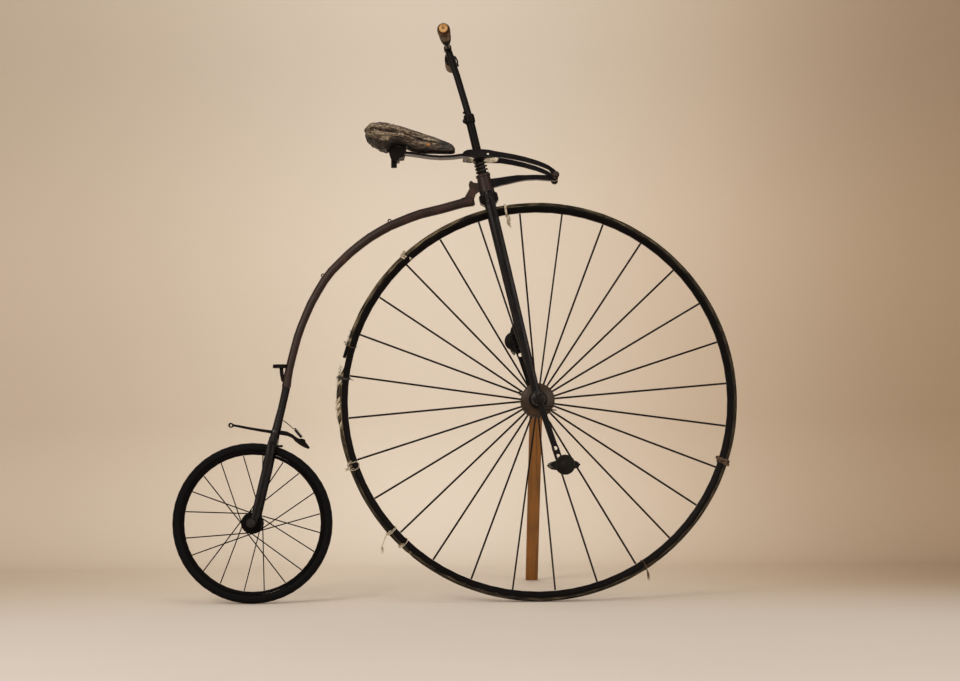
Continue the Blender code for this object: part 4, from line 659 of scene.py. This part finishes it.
bm = bmesh.new()
for seed, place_angle in ((21, 131.9), (22, 132.6)):
    loop = []
    for share in range(20):
        loop.append(round_the_rim(place_angle + 0.25 * math.sin(share * 0.7), share / CLOTH_STEPS, 0.0009))
    cloth_strip(bm, loop, 0.0022, seed)
knot(bm, round_the_rim(132.2, 0.06, 0.003), 0.0036, 24)
knot(bm, round_the_rim(131.5, 0.13, 0.003), 0.0034, 25)
tuft(bm, round_the_rim(131.2, 0.97, 0.002), Vector((0.6, -0.5, -0.8)), 14, 0.010, 0.5, 0.0006, 26)
finish_tie(bm, "tie_shoulder_cloth", cream_cloth)

bm = bmesh.new()
string_tie(bm, 199.1, 1.5, 0.0009, 1.1, 31)
string_tie(bm, 199.1, 1.5, 0.0009, -1.1, 32)
tuft(bm, round_the_rim(199.4, 0.22, 0.002), outward(196.0), 30, 0.010, 0.9, 0.0005, 33)
finish_tie(bm, "tie_crossed_string", cream_cloth)

bm = bmesh.new()
string_tie(bm, 221.2, 2.5, 0.0009, 0.3, 41)
root = round_the_rim(221.0, 0.2, 0.0015)
hang = [root + Vector((-0.0016 * k, -0.001, -0.0042 * k)) for k in range(8)]
swept(bm, hang, [0.0011] * 8, 6)
tuft(bm, hang[-1], down, 40, 0.018, 0.30, 0.00045, 42)
finish_tie(bm, "tie_tailed_string", cream_cloth)

bm = bmesh.new()
string_tie(bm, 226.1, 1.5, 0.0010, 0.6, 51)
knot(bm, round_the_rim(226.3, 0.12, 0.0018), 0.0026, 52)
finish_tie(bm, "tie_low_string", cream_cloth)

bm = bmesh.new()
string_tie(bm, -18.6, 3.5, 0.0013, 0.35, 61)
string_tie(bm, -18.4, 1.5, 0.0012, -0.8, 62)
knot(bm, round_the_rim(-18.0, 0.80, 0.004), 0.0042, 63)
knot(bm, round_the_rim(-19.2, 0.14, 0.002), 0.0030, 64)
finish_tie(bm, "tie_brown_cord", brown_cord)

bm = bmesh.new()
tassel_root = round_the_rim(-57.6, 0.25, 0.0005)
tuft(bm, tassel_root, down + Vector((0.25, 0.0, 0.0)), 34, 0.025, 0.22, 0.0006, 71)
string_tie(bm, -57.6, 1.1, 0.0007, 0.2, 72)
finish_tie(bm, "tie_brown_tassel", brown_cord)

bm = bmesh.new()
string_tie(bm, 172.8, 2.5, 0.0011, 0.25, 81)
tuft(bm, round_the_rim(172.9, 0.75, 0.001), outward(-9.0), 8, 0.013, 0.35, 0.0005, 82)
tuft(bm, round_the_rim(172.8, 0.25, 0.001), outward(170.0), 10, 0.008, 0.5, 0.0005, 83)
finish_tie(bm, "tie_dark_cord", dark_cord)

bm = bmesh.new()
string_tie(bm, 163.0, 1.5, 0.0007, 0.5, 85)
tuft(bm, round_the_rim(162.6, 0.2, 0.001), outward(165.0), 14, 0.007, 0.8, 0.0005, 86)
finish_tie(bm, "tie_thin_thread", brown_cord)


# Frayed canvas. The rubber was built on canvas, which hangs out in fibres at the break
# and along the split sides. Each row is a count of fibres, their first and last angle and their length.
FRAYED_RUNS = (
    (60, 158.6, 163.4, 0.008), (90, 169.6, 174.0, 0.010), (40, 174.0, 178.0, 0.008),
    (50, 179.2, 184.6, 0.008), (24, 184.6, 196.0, 0.004), (40, 20.0, 42.0, 0.0035), (40, 110.0, 158.0, 0.0035),
)
FIBRE_RADIUS = 0.00042
bm = bmesh.new()
dice = random.Random(91)
for count, low, high, length in FRAYED_RUNS:
    for _ in range(count):
        angle = dice.uniform(low, high)
        radius = dice.uniform(0.5035, 0.5075) + 0.003 * bump_at(angle, LOOSE_MIDDLE, LOOSE_HALF)
        root = on_wheel(radius, angle, dice.uniform(-0.0110, 0.004))
        away = outward(angle + dice.uniform(-70.0, 70.0))
        tuft(bm, root, away + Vector((0.0, -0.3, 0.0)), 1, length, 0.3, FIBRE_RADIUS, dice.randrange(10000))
canvas = cloth_finish("frayed_canvas", linear(176, 160, 134), linear(84, 70, 54), 500.0)
finish_tie(bm, "tyre_frayed_canvas", canvas)


# Pale threads. Bundles of the canvas's cross threads lie bare on the near side, where the
# rubber has split off. Each row is a bundle's angle, the reach of its threads and their count.
THREAD_BUNDLES = (
    (174.6, 0.0055, 12), (179.6, 0.0075, 13), (181.3, 0.0085, 15), (183.2, 0.0080, 14), (186.6, 0.0050, 10),
)
bm = bmesh.new()
for middle, reach, count in THREAD_BUNDLES:
    for _ in range(count):
        angle = middle + dice.uniform(-0.45, 0.45)
        inner = dice.uniform(0.4985, 0.5010)
        lift = 0.0032 * bump_at(angle, LOOSE_MIDDLE, LOOSE_HALF)
        lean = dice.uniform(1.1, 2.0)
        across = -0.0115 - dice.uniform(0.0, 0.0012)
        thread = []
        for k in range(6):
            out = inner + lift + (reach + 0.003) * k / 5.0
            thread.append(on_wheel(out, angle + lean * (k / 5.0 - 0.5), across + 0.0005 * math.sin(k * 1.7)))
        swept(bm, thread, [0.00055] * 5 + [0.0002], 4)
finish_tie(bm, "tyre_pale_threads", cream_cloth)


# Loose flap. A tongue of the old rubber stands out over the bare rim at the upper end of the
# break. It is still joined to the tyre above.
FLAP_STEPS = 12
bm = bmesh.new()
flap = []
for step in range(FLAP_STEPS + 1):
    share = step / FLAP_STEPS
    flap.append(on_wheel(0.5026 + 0.0018 * share ** 1.5, BREAK_FROM - 0.6 + 4.4 * share, -0.002))
swept(bm, flap, [0.0050 - 0.0010 * step / 12.0 for step in range(FLAP_STEPS + 1)], 10, 0.7, SIDEWAYS)
finish_tie(bm, "tyre_loose_flap", rear_rubber)


# Cranks and pedals. Forged iron cranks pinned to the axle, with holes for two lengths of
# stride, and iron pedals that turn on their pins between two round plates.
crank_iron = iron_finish(
    "crank_black", linear(5, 4, 4), linear(28, 20, 16), BARE_IRON,
    rusted=0.15, worn=0.2, gloss=0.1, pits=0.06, shine=0.3,
)
finish_node(("crank_left", "crank_right"), crank_iron)
# The pedals' pale edges are partly real wear and partly painted highlight: bare-metal colour along the rims of
# the plates stands for the light they catch.
pedal_iron = iron_finish(
    "pedal_black", linear(10, 8, 6), linear(50, 38, 26), linear(132, 122, 106),
    rusted=0.3, worn=0.85, gloss=0.34, pits=0.4, speckle=0.1, shine=0.12,
)
finish_node(("pedal_left", "pedal_right"), pedal_iron)


# Cotters. A split pin of round iron wire goes through each crank's boss and the axle.
# Its two legs are bent a little apart, so that it can't fall out.
COTTER_RADIUS = 0.0016
COTTER_TIP = 0.0009
COTTER_START = 0.0120
COTTER_LENGTH = 0.0343
COTTER_SIDE = 0.1005


def on_machine(x, y, z):
    """A place on the upright machine, taken to where it stands leaning."""
    return MACHINE_PLACE @ Vector((x, y, z))


for name, hand in (("cotter_right", -1.0), ("cotter_left", 1.0)):
    bm = bmesh.new()
    near = 1.0 if hand < 0 else -1.0
    out = hand * COTTER_SIDE
    for rise, end in ((0.4889, 0.4872), (0.4812, 0.4787)):
        height = (rise - AXLE_HEIGHT) * near + AXLE_HEIGHT
        lower = (end - AXLE_HEIGHT) * near + AXLE_HEIGHT
        leg = []
        for k in range(7):
            forward = (COTTER_START + COTTER_LENGTH * k / 6.0) * near
            leg.append(on_machine(forward, out, height + (lower - height) * (k / 6.0) ** 1.5))
        swept(bm, leg, [COTTER_RADIUS] * 6 + [COTTER_TIP], 6)
    new_piece(bm, name, crank_iron, "front_wheel")


# Fork. Two hollow tapered blades brazed into a forged crown, in a thick black finish that has
# pitted. Its small blue-grey lights are painted glints. The stem, post and bar above have less wear.
finish_node(("fork_blade_left", "fork_blade_right", "fork_crown"), fork_iron)
stem_iron = iron_finish(
    "stem_brown_black", linear(6, 5, 5), linear(32, 21, 18), linear(76, 74, 80),
    rusted=0.2, worn=0.15, gloss=0.24, pits=0.22, speckle=0.05, shine=0.09,
)
finish_node(("stem_tube", "stem_collar", "handlebar_post", "handlebar", "post_hook"), stem_iron)


# Spring and saddle irons. A long steel leaf and two curved arms meet at a bolt in front.
# The saddle is clamped to the leaf's rear end, and its middle rests on a seat over the coil.
finish_node(("spring_arm", "saddle_spring", "spring_seat"), fork_iron)
finish_node(("saddle_clamp",), plain_iron)
finish_node(("spring_bolt",), backbone_iron)


# Spring pad. A folded strip of pale leather, tucked in between the left arm of the spring
# and the iron under it, so that they don't rattle. It is held by the arm's pressure alone.
PAD_SIDE = 0.0415
PAD_RISE = 0.0058
PAD_RUN = (
    (-0.1846, 1.1372), (-0.1769, 1.1345), (-0.1683, 1.1302), (-0.1582, 1.1272), (-0.1400, 1.1258),
    (-0.1237, 1.1257), (-0.1108, 1.1268), (-0.0993, 1.1298), (-0.0965, 1.1340),
)
PAD_HALF_WIDTHS = [0.0050] + [0.0062] * 7 + [0.0046]
pad_leather = cloth_finish("pad_pale_leather", linear(224, 208, 182), linear(164, 142, 112), 90.0)
bm = bmesh.new()
points = [on_machine(x, PAD_SIDE, z + PAD_RISE) for x, z in PAD_RUN]
swept(bm, points, PAD_HALF_WIDTHS, 12, 0.28, SIDEWAYS)
new_piece(bm, "spring_pad", pad_leather, "frame")


# Grips. Turned horn-brown wood, dark and greasy round the side, pale on the worn outer end,
# each behind a short black ferrule on the bar.
GRIP_STARTS = ((-0.225192, -0.1075, 1.418545), (-0.218748, 0.1075, 1.415455))
GRIP_ENDS = ((-0.22927, -0.225, 1.4205), (-0.21467, 0.225, 1.4135))
GRIP_LENGTH = 0.1325
WORN_FROM = 0.1303
CENTRE_HOLE = 0.0038
GRIP_PROFILE = (
    (0.0, 0.0), (0.0100, 0.0), (0.0118, 0.0012), (0.0124, 0.006), (0.0132, 0.020), (0.0143, 0.045),
    (0.0154, 0.070), (0.0162, 0.092), (0.0164, 0.106), (0.0160, 0.115), (0.0149, 0.122), (0.0130, 0.1275),
    (0.0112, 0.1298), (0.0101, 0.1304), (0.0094, 0.1311), (0.0084, 0.1321), (0.0058, GRIP_LENGTH),
    (0.0046, GRIP_LENGTH - 0.0002), (0.0040, GRIP_LENGTH - 0.0012), (0.0030, GRIP_LENGTH - 0.0012),
    (0.0022, GRIP_LENGTH - 0.0003), (0.0, GRIP_LENGTH),
)
FERRULE_PROFILE = (
    (0.0, 0.0380), (0.0139, 0.0380), (0.0147, 0.0365), (0.0142, 0.0300), (0.0134, 0.0130), (0.0128, 0.0010),
    (0.0122, -0.0040), (0.0106, -0.0080), (0.0098, -0.0110), (0.0100, -0.0190), (0.0108, -0.0205),
    (0.0104, -0.0225), (0.0, -0.0225),
)
ferrule_iron = iron_finish(
    "ferrule_black", linear(8, 6, 6), linear(24, 16, 13), linear(44, 38, 36),
    rusted=0.2, worn=0.1, gloss=0.6, pits=0.2, shine=0.04,
)


def turned_piece(bm, place, profile, steps=56):
    """Turns a profile of (radius, distance) round the z of place; it starts and ends on the axis."""
    rings = []
    for radius, reach in profile:
        if radius == 0:
            rings.append([bm.verts.new(place @ Vector((0.0, 0.0, reach)))])
            continue
        ring = []
        for k in range(steps):
            turn = math.tau * k / steps
            point = Vector((radius * math.cos(turn), radius * math.sin(turn), reach))
            ring.append(bm.verts.new(place @ point))
        rings.append(ring)
    for first, second in zip(rings, rings[1:]):
        for k in range(steps):
            beside = (k + 1) % steps
            if len(first) == 1:
                bm.faces.new((first[0], second[beside], second[k]))
            elif len(second) == 1:
                bm.faces.new((first[k], first[beside], second[0]))
            else:
                bm.faces.new((first[k], first[beside], second[beside], second[k]))


grip_wood, tree, shader = new_material("grip_horn_brown")
worn = put(tree, "Attribute", attribute_name="worn")
place = place_in(tree, (1.0, 0.15, 1.0))
fibres = cloudy(tree, place, 140.0, 5.0, 0.65, 0.5)
spots = cloudy(tree, place_in(tree), 38.0, 4.0)
side_tone = blended(tree, spread(tree, spots, 0.38, 0.62), linear(72, 36, 18), linear(108, 88, 52))
side_tone = blended(tree, spread(tree, fibres, 0.45, 0.68), side_tone, linear(34, 19, 12))
end_tone = blended(tree, spread(tree, spots, 0.4, 0.6), linear(182, 140, 88), linear(146, 98, 48))
tree.links.new(blended(tree, worn.outputs["Fac"], side_tone, end_tone), shader.inputs["Base Color"])
tree.links.new(spread(tree, fibres, 0.3, 0.7, 0.42, 0.62), shader.inputs["Roughness"])
shader.inputs["Specular IOR Level"].default_value = 0.08
bump = put(tree, "Bump", {"Strength": 0.2, "Distance": 0.0005})
tree.links.new(fibres, bump.inputs["Height"])
tree.links.new(bump.outputs[0], shader.inputs["Normal"])

for name, start, end in zip(("right", "left"), GRIP_STARTS, GRIP_ENDS):
    start = on_machine(*start)
    end = on_machine(*end)
    place = Matrix.Translation(start) @ (end - start).to_track_quat("Z", "Y").to_matrix().to_4x4()
    bm = bmesh.new()
    worn_layer = bm.verts.layers.float.new("worn")
    turned_piece(bm, place, GRIP_PROFILE)
    for vertex in bm.verts:
        local = place.inverted() @ vertex.co
        vertex[worn_layer] = 0.0
        if local.z > WORN_FROM:
            vertex[worn_layer] = 1.0 if local.x ** 2 + local.y ** 2 > CENTRE_HOLE ** 2 else 0.35
    grip = new_piece(bm, "grip_" + name + "_turned", grip_wood, "fork")
    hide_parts("grip_" + name)
    bm = bmesh.new()
    turned_piece(bm, place, FERRULE_PROFILE, 40)
    new_piece(bm, "ferrule_" + name, ferrule_iron, "fork")


# Prop. A square stick of varnished wood stands on the floor and holds the machine up under
# the far end of the axle. Its grain runs along it.
PROP_SLOPE = math.radians(-35.9)


def wood_finish(name, light, dark, along, gloss, turn):
    """Varnished wood. turn sets its grain upright and along stretches it."""
    material, tree, shader = new_material(name)
    stretched = put(tree, "Mapping", {"Scale": along})
    tree.links.new(place_in(tree, (1.0, 1.0, 1.0), turn), stretched.inputs["Vector"])
    place = stretched.outputs["Vector"]
    fibres = cloudy(tree, place, 60.0, 6.0, 0.7, 0.6)
    broad = cloudy(tree, place_in(tree), 9.0, 3.0)
    tone = worked(tree, worked(tree, fibres, 0.7), worked(tree, broad, 0.3), "ADD")
    tree.links.new(blended(tree, spread(tree, tone, 0.36, 0.66), light, dark), shader.inputs["Base Color"])
    tree.links.new(spread(tree, fibres, 0.3, 0.7, gloss, gloss + 0.2), shader.inputs["Roughness"])
    bump = put(tree, "Bump", {"Strength": 0.25, "Distance": 0.0006})
    tree.links.new(fibres, bump.inputs["Height"])
    tree.links.new(bump.outputs[0], shader.inputs["Normal"])
    return material


prop_wood = wood_finish(
    "prop_wood", linear(142, 88, 24), linear(94, 57, 12), (1.6, 1.6, 0.05), 0.3, (PROP_SLOPE, 0.0, 0.0)
)
finish_node(("prop",), prop_wood)


# Saddle. Thick leather over an iron frame, dried into deep folds that run from back to front.
# The nose has gone black, the back edge has sunk into lumps, and the clamp's top sits inside.
SADDLE_RUN = (
    (-0.4325, 1.2030, 1.1950, 0.030), (-0.4310, 1.2085, 1.1875, 0.048), (-0.4275, 1.2136, 1.1800, 0.060),
    (-0.4210, 1.2214, 1.1735, 0.070), (-0.4095, 1.2248, 1.1635, 0.079), (-0.3960, 1.2254, 1.1545, 0.083),
    (-0.3840, 1.2246, 1.1515, 0.084), (-0.3734, 1.2232, 1.1540, 0.082), (-0.3640, 1.2206, 1.1600, 0.079),
    (-0.3529, 1.2170, 1.1650, 0.074), (-0.3400, 1.2130, 1.1630, 0.068), (-0.3272, 1.2090, 1.1570, 0.061),
    (-0.3140, 1.2050, 1.1510, 0.054), (-0.3015, 1.2014, 1.1480, 0.048), (-0.2810, 1.1942, 1.1460, 0.040),
    (-0.2630, 1.1888, 1.1450, 0.035), (-0.2425, 1.1808, 1.1442, 0.030), (-0.2220, 1.1729, 1.1437, 0.027),
    (-0.2130, 1.1682, 1.1440, 0.0245), (-0.2078, 1.1625, 1.1450, 0.0205), (-0.2052, 1.1580, 1.1475, 0.0150),
)
SADDLE_STATIONS = 230
SADDLE_ROUND = 150
TORN_RUN = 0.024
TORN_REACH = 0.0075
CLAMP_TOP = 1.1622
STAIN_PLACE = (0.2728, 1.1632)
STAIN_RADIUS = 0.0030
STAIN_FADE = 0.0024
leather, tree, shader = new_material("saddle_leather")
fold = put(tree, "Attribute", attribute_name="fold")
dark = put(tree, "Attribute", attribute_name="blackened")
spot = put(tree, "Attribute", attribute_name="stain")
scratch = put(tree, "Attribute", attribute_name="scratch")
streaks = cloudy(tree, place_in(tree, (0.16, 1.0, 1.0)), 150.0, 6.0, 0.6, 1.4)
mottle = cloudy(tree, place_in(tree), 70.0, 5.0, 0.65)
# Painted light and shade in the folds: the colour is dark in every crease and pale on every ridge, following
# the fold attribute and the fine streaks, which also drive the bump.
fine_fold_shading = worked(tree, spread(tree, streaks, 0.3, 0.7, -0.5, 0.5), 0.8)
depth = worked(tree, fold.outputs["Fac"], fine_fold_shading, "ADD")
tone = blended(tree, spread(tree, depth, 0.2, 0.62), linear(8, 5, 3), linear(62, 45, 30))
tone = blended(tree, spread(tree, depth, 0.66, 1.1), tone, linear(146, 128, 102))
tone = blended(tree, spread(tree, mottle, 0.48, 0.66, 0.0, 0.65), tone, linear(66, 38, 20))
patchy = worked(tree, dark.outputs["Fac"], spread(tree, mottle, 0.3, 0.6, 1.0, 0.82))
tone = blended(tree, patchy, tone, linear(17, 12, 9))
tone = blended(tree, spot.outputs["Fac"], tone, linear(176, 108, 44))
tone = blended(tree, scratch.outputs["Fac"], tone, linear(190, 182, 168))
tree.links.new(tone, shader.inputs["Base Color"])
tree.links.new(spread(tree, dark.outputs["Fac"], 0.0, 1.0, 0.68, 0.42), shader.inputs["Roughness"])
shader.inputs["Specular IOR Level"].default_value = 0.4
bump = put(tree, "Bump", {"Strength": 1.0, "Distance": 0.0030})
tree.links.new(worked(tree, streaks, worked(tree, mottle, 0.4), "ADD"), bump.inputs["Height"])
tree.links.new(bump.outputs[0], shader.inputs["Normal"])


def along_run(x, column):
    """The saddle's size in one column at x, eased between the listed stations."""
    for low, high in zip(SADDLE_RUN, SADDLE_RUN[1:]):
        if x <= high[0]:
            share = max(0.0, (x - low[0]) / (high[0] - low[0]))
            return low[column] + (high[column] - low[column]) * share
    return SADDLE_RUN[-1][column]


def fold_depth(x, around, hand):
    """How far the leather stands out, from -1 in a fold to 1 on a ridge."""
    wander = 0.05 * noise.noise(Vector((x * 22.0, around * 3.0, hand)))
    first = noise.noise(Vector((x * 12.0, (around + wander) * 13.0, hand * 5.0)))
    second = noise.noise(Vector((x * 26.0, (around + wander) * 30.0, hand * 9.0 + 3.0)))
    third = noise.noise(Vector((x * 75.0, (around + wander) * 80.0, hand * 2.0 + 8.0)))
    broad_ridges = (1.0 - 2.6 * abs(first)) * 0.52
    return broad_ridges + (1.0 - 2.8 * abs(second)) * 0.32 + (1.0 - 2.8 * abs(third)) * 0.16


bm = bmesh.new()
layers = {key: bm.verts.layers.float.new(key) for key in ("fold", "blackened", "stain", "scratch")}
rings = []
first_x = SADDLE_RUN[0][0]
last_x = SADDLE_RUN[-1][0]
for station in range(SADDLE_STATIONS + 1):
    share = station / SADDLE_STATIONS
    share = share - 0.09 * math.sin(math.tau * share) / math.tau * 2.0
    x = first_x + (last_x - first_x) * share
    top, low, half = (along_run(x, column) for column in (1, 2, 3))
    waist = low + (top - low) * 0.46
    ring = []
    for step in range(SADDLE_ROUND):
        turn = math.tau * step / SADDLE_ROUND
        side = math.sin(turn)
        upward = math.cos(turn)
        y = half * math.copysign(abs(side) ** 0.82, side)
        rise = math.copysign(abs(upward) ** (0.95 if upward > 0 else 0.62), upward)
        z = waist + (top - waist) * rise if upward > 0 else waist + (waist - low) * rise
        if upward < 0:
            y *= 1.0 - 0.16 * abs(upward)
        hand = 1.0 if side >= 0 else -1.0
        around = math.acos(max(-1.0, min(1.0, upward))) / math.pi
        crease = fold_depth(x, around, hand)
        flank = math.exp(-((around - 0.42) / 0.2) ** 2)
        rear = max(0.0, min(1.0, (-0.33 - x) / 0.08))
        nose = max(0.0, min(1.0, (x + 0.275) / 0.05))
        ends = min(1.0, 0.25 + (x - first_x) / 0.006, (last_x - x) / 0.006)
        strength = (0.0013 + 0.0066 * flank + 0.0042 * rear) * (1.0 - 0.65 * nose) * max(0.0, ends)
        if upward < -0.2:
            lump = noise.noise(Vector((x * 62.0, y * 55.0, 4.0))) * 0.0095
            lump = (lump + noise.noise(Vector((x * 170.0, y * 120.0, 9.0))) * 0.0040) * rear * max(0.0, ends)
            z += lump if abs(y) > 0.02 else 0.0
        out = Vector((0.0, y / max(half, 0.01), rise)).normalized()
        push = (crease - 0.75) * strength
        y += out.y * push
        z += out.z * push
        if -0.3790 < x < -0.3265 and abs(y) < 0.0315 and upward < 0.0:
            z = max(z, CLAMP_TOP)
        tail = max(0.0, 1.0 - (x - first_x) / TORN_RUN)
        torn = TORN_REACH * tail * noise.noise(Vector((around * 21.0, hand * 3.0, 6.0)))
        vertex = bm.verts.new(on_machine(x + torn, y, z))
        # The fold attribute carries painted light and shade: low in the creases, high on the ridges, most on
        # the flanks.
        vertex[layers["fold"]] = max(0.0, min(1.0, 0.42 + 0.62 * crease * (0.5 + flank)))
        # The leather is made darker and glossier on its underside and towards the nose.
        under = max(0.0, min(1.0, (-upward - 0.25) * 3.0))
        vertex[layers["blackened"]] = max(under, max(0.0, min(1.0, (x + 0.262) / 0.022)) * 0.95)
        near_spot = 1.0
        if side < 0:
            ragged_edge = 0.0012 * noise.noise(Vector((x * 500.0, z * 500.0, 2.0)))
            near_spot = math.hypot(x + STAIN_PLACE[0], (z - STAIN_PLACE[1]) * 1.3) + ragged_edge
        stain = 0.9 if near_spot < STAIN_RADIUS else max(0.0, 0.9 - (near_spot - STAIN_RADIUS) / STAIN_FADE)
        vertex[layers["stain"]] = stain
        scuff = 0.0
        if side < 0 and -0.2880 < x < -0.2610 and 1.1685 < z < 1.1815:
            broken = max(0.0, noise.noise(Vector((x * 160.0, z * 160.0, 0.0))) + 0.35)
            scuff = max(0.0, math.sin((x * 0.9 + z) * 1400.0)) ** 6 * broken
        vertex[layers["scratch"]] = min(1.0, scuff)
        ring.append(vertex)
    rings.append(ring)
for ring, after in zip(rings, rings[1:]):
    for step in range(SADDLE_ROUND):
        beside = (step + 1) % SADDLE_ROUND
        bm.faces.new((ring[step], ring[beside], after[beside], after[step]))
for ring, flip in ((rings[0], True), (rings[-1], False)):
    middle = bm.verts.new(sum((vertex.co for vertex in ring), Vector()) / len(ring))
    for key in layers:
        middle[layers[key]] = ring[0][layers[key]]
    for step in range(SADDLE_ROUND):
        beside = (step + 1) % SADDLE_ROUND
        bm.faces.new((ring[beside], ring[step], middle) if flip else (ring[step], ring[beside], middle))
seat = new_piece(bm, "saddle_leather_top", leather, "frame", 75.0)
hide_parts("saddle")
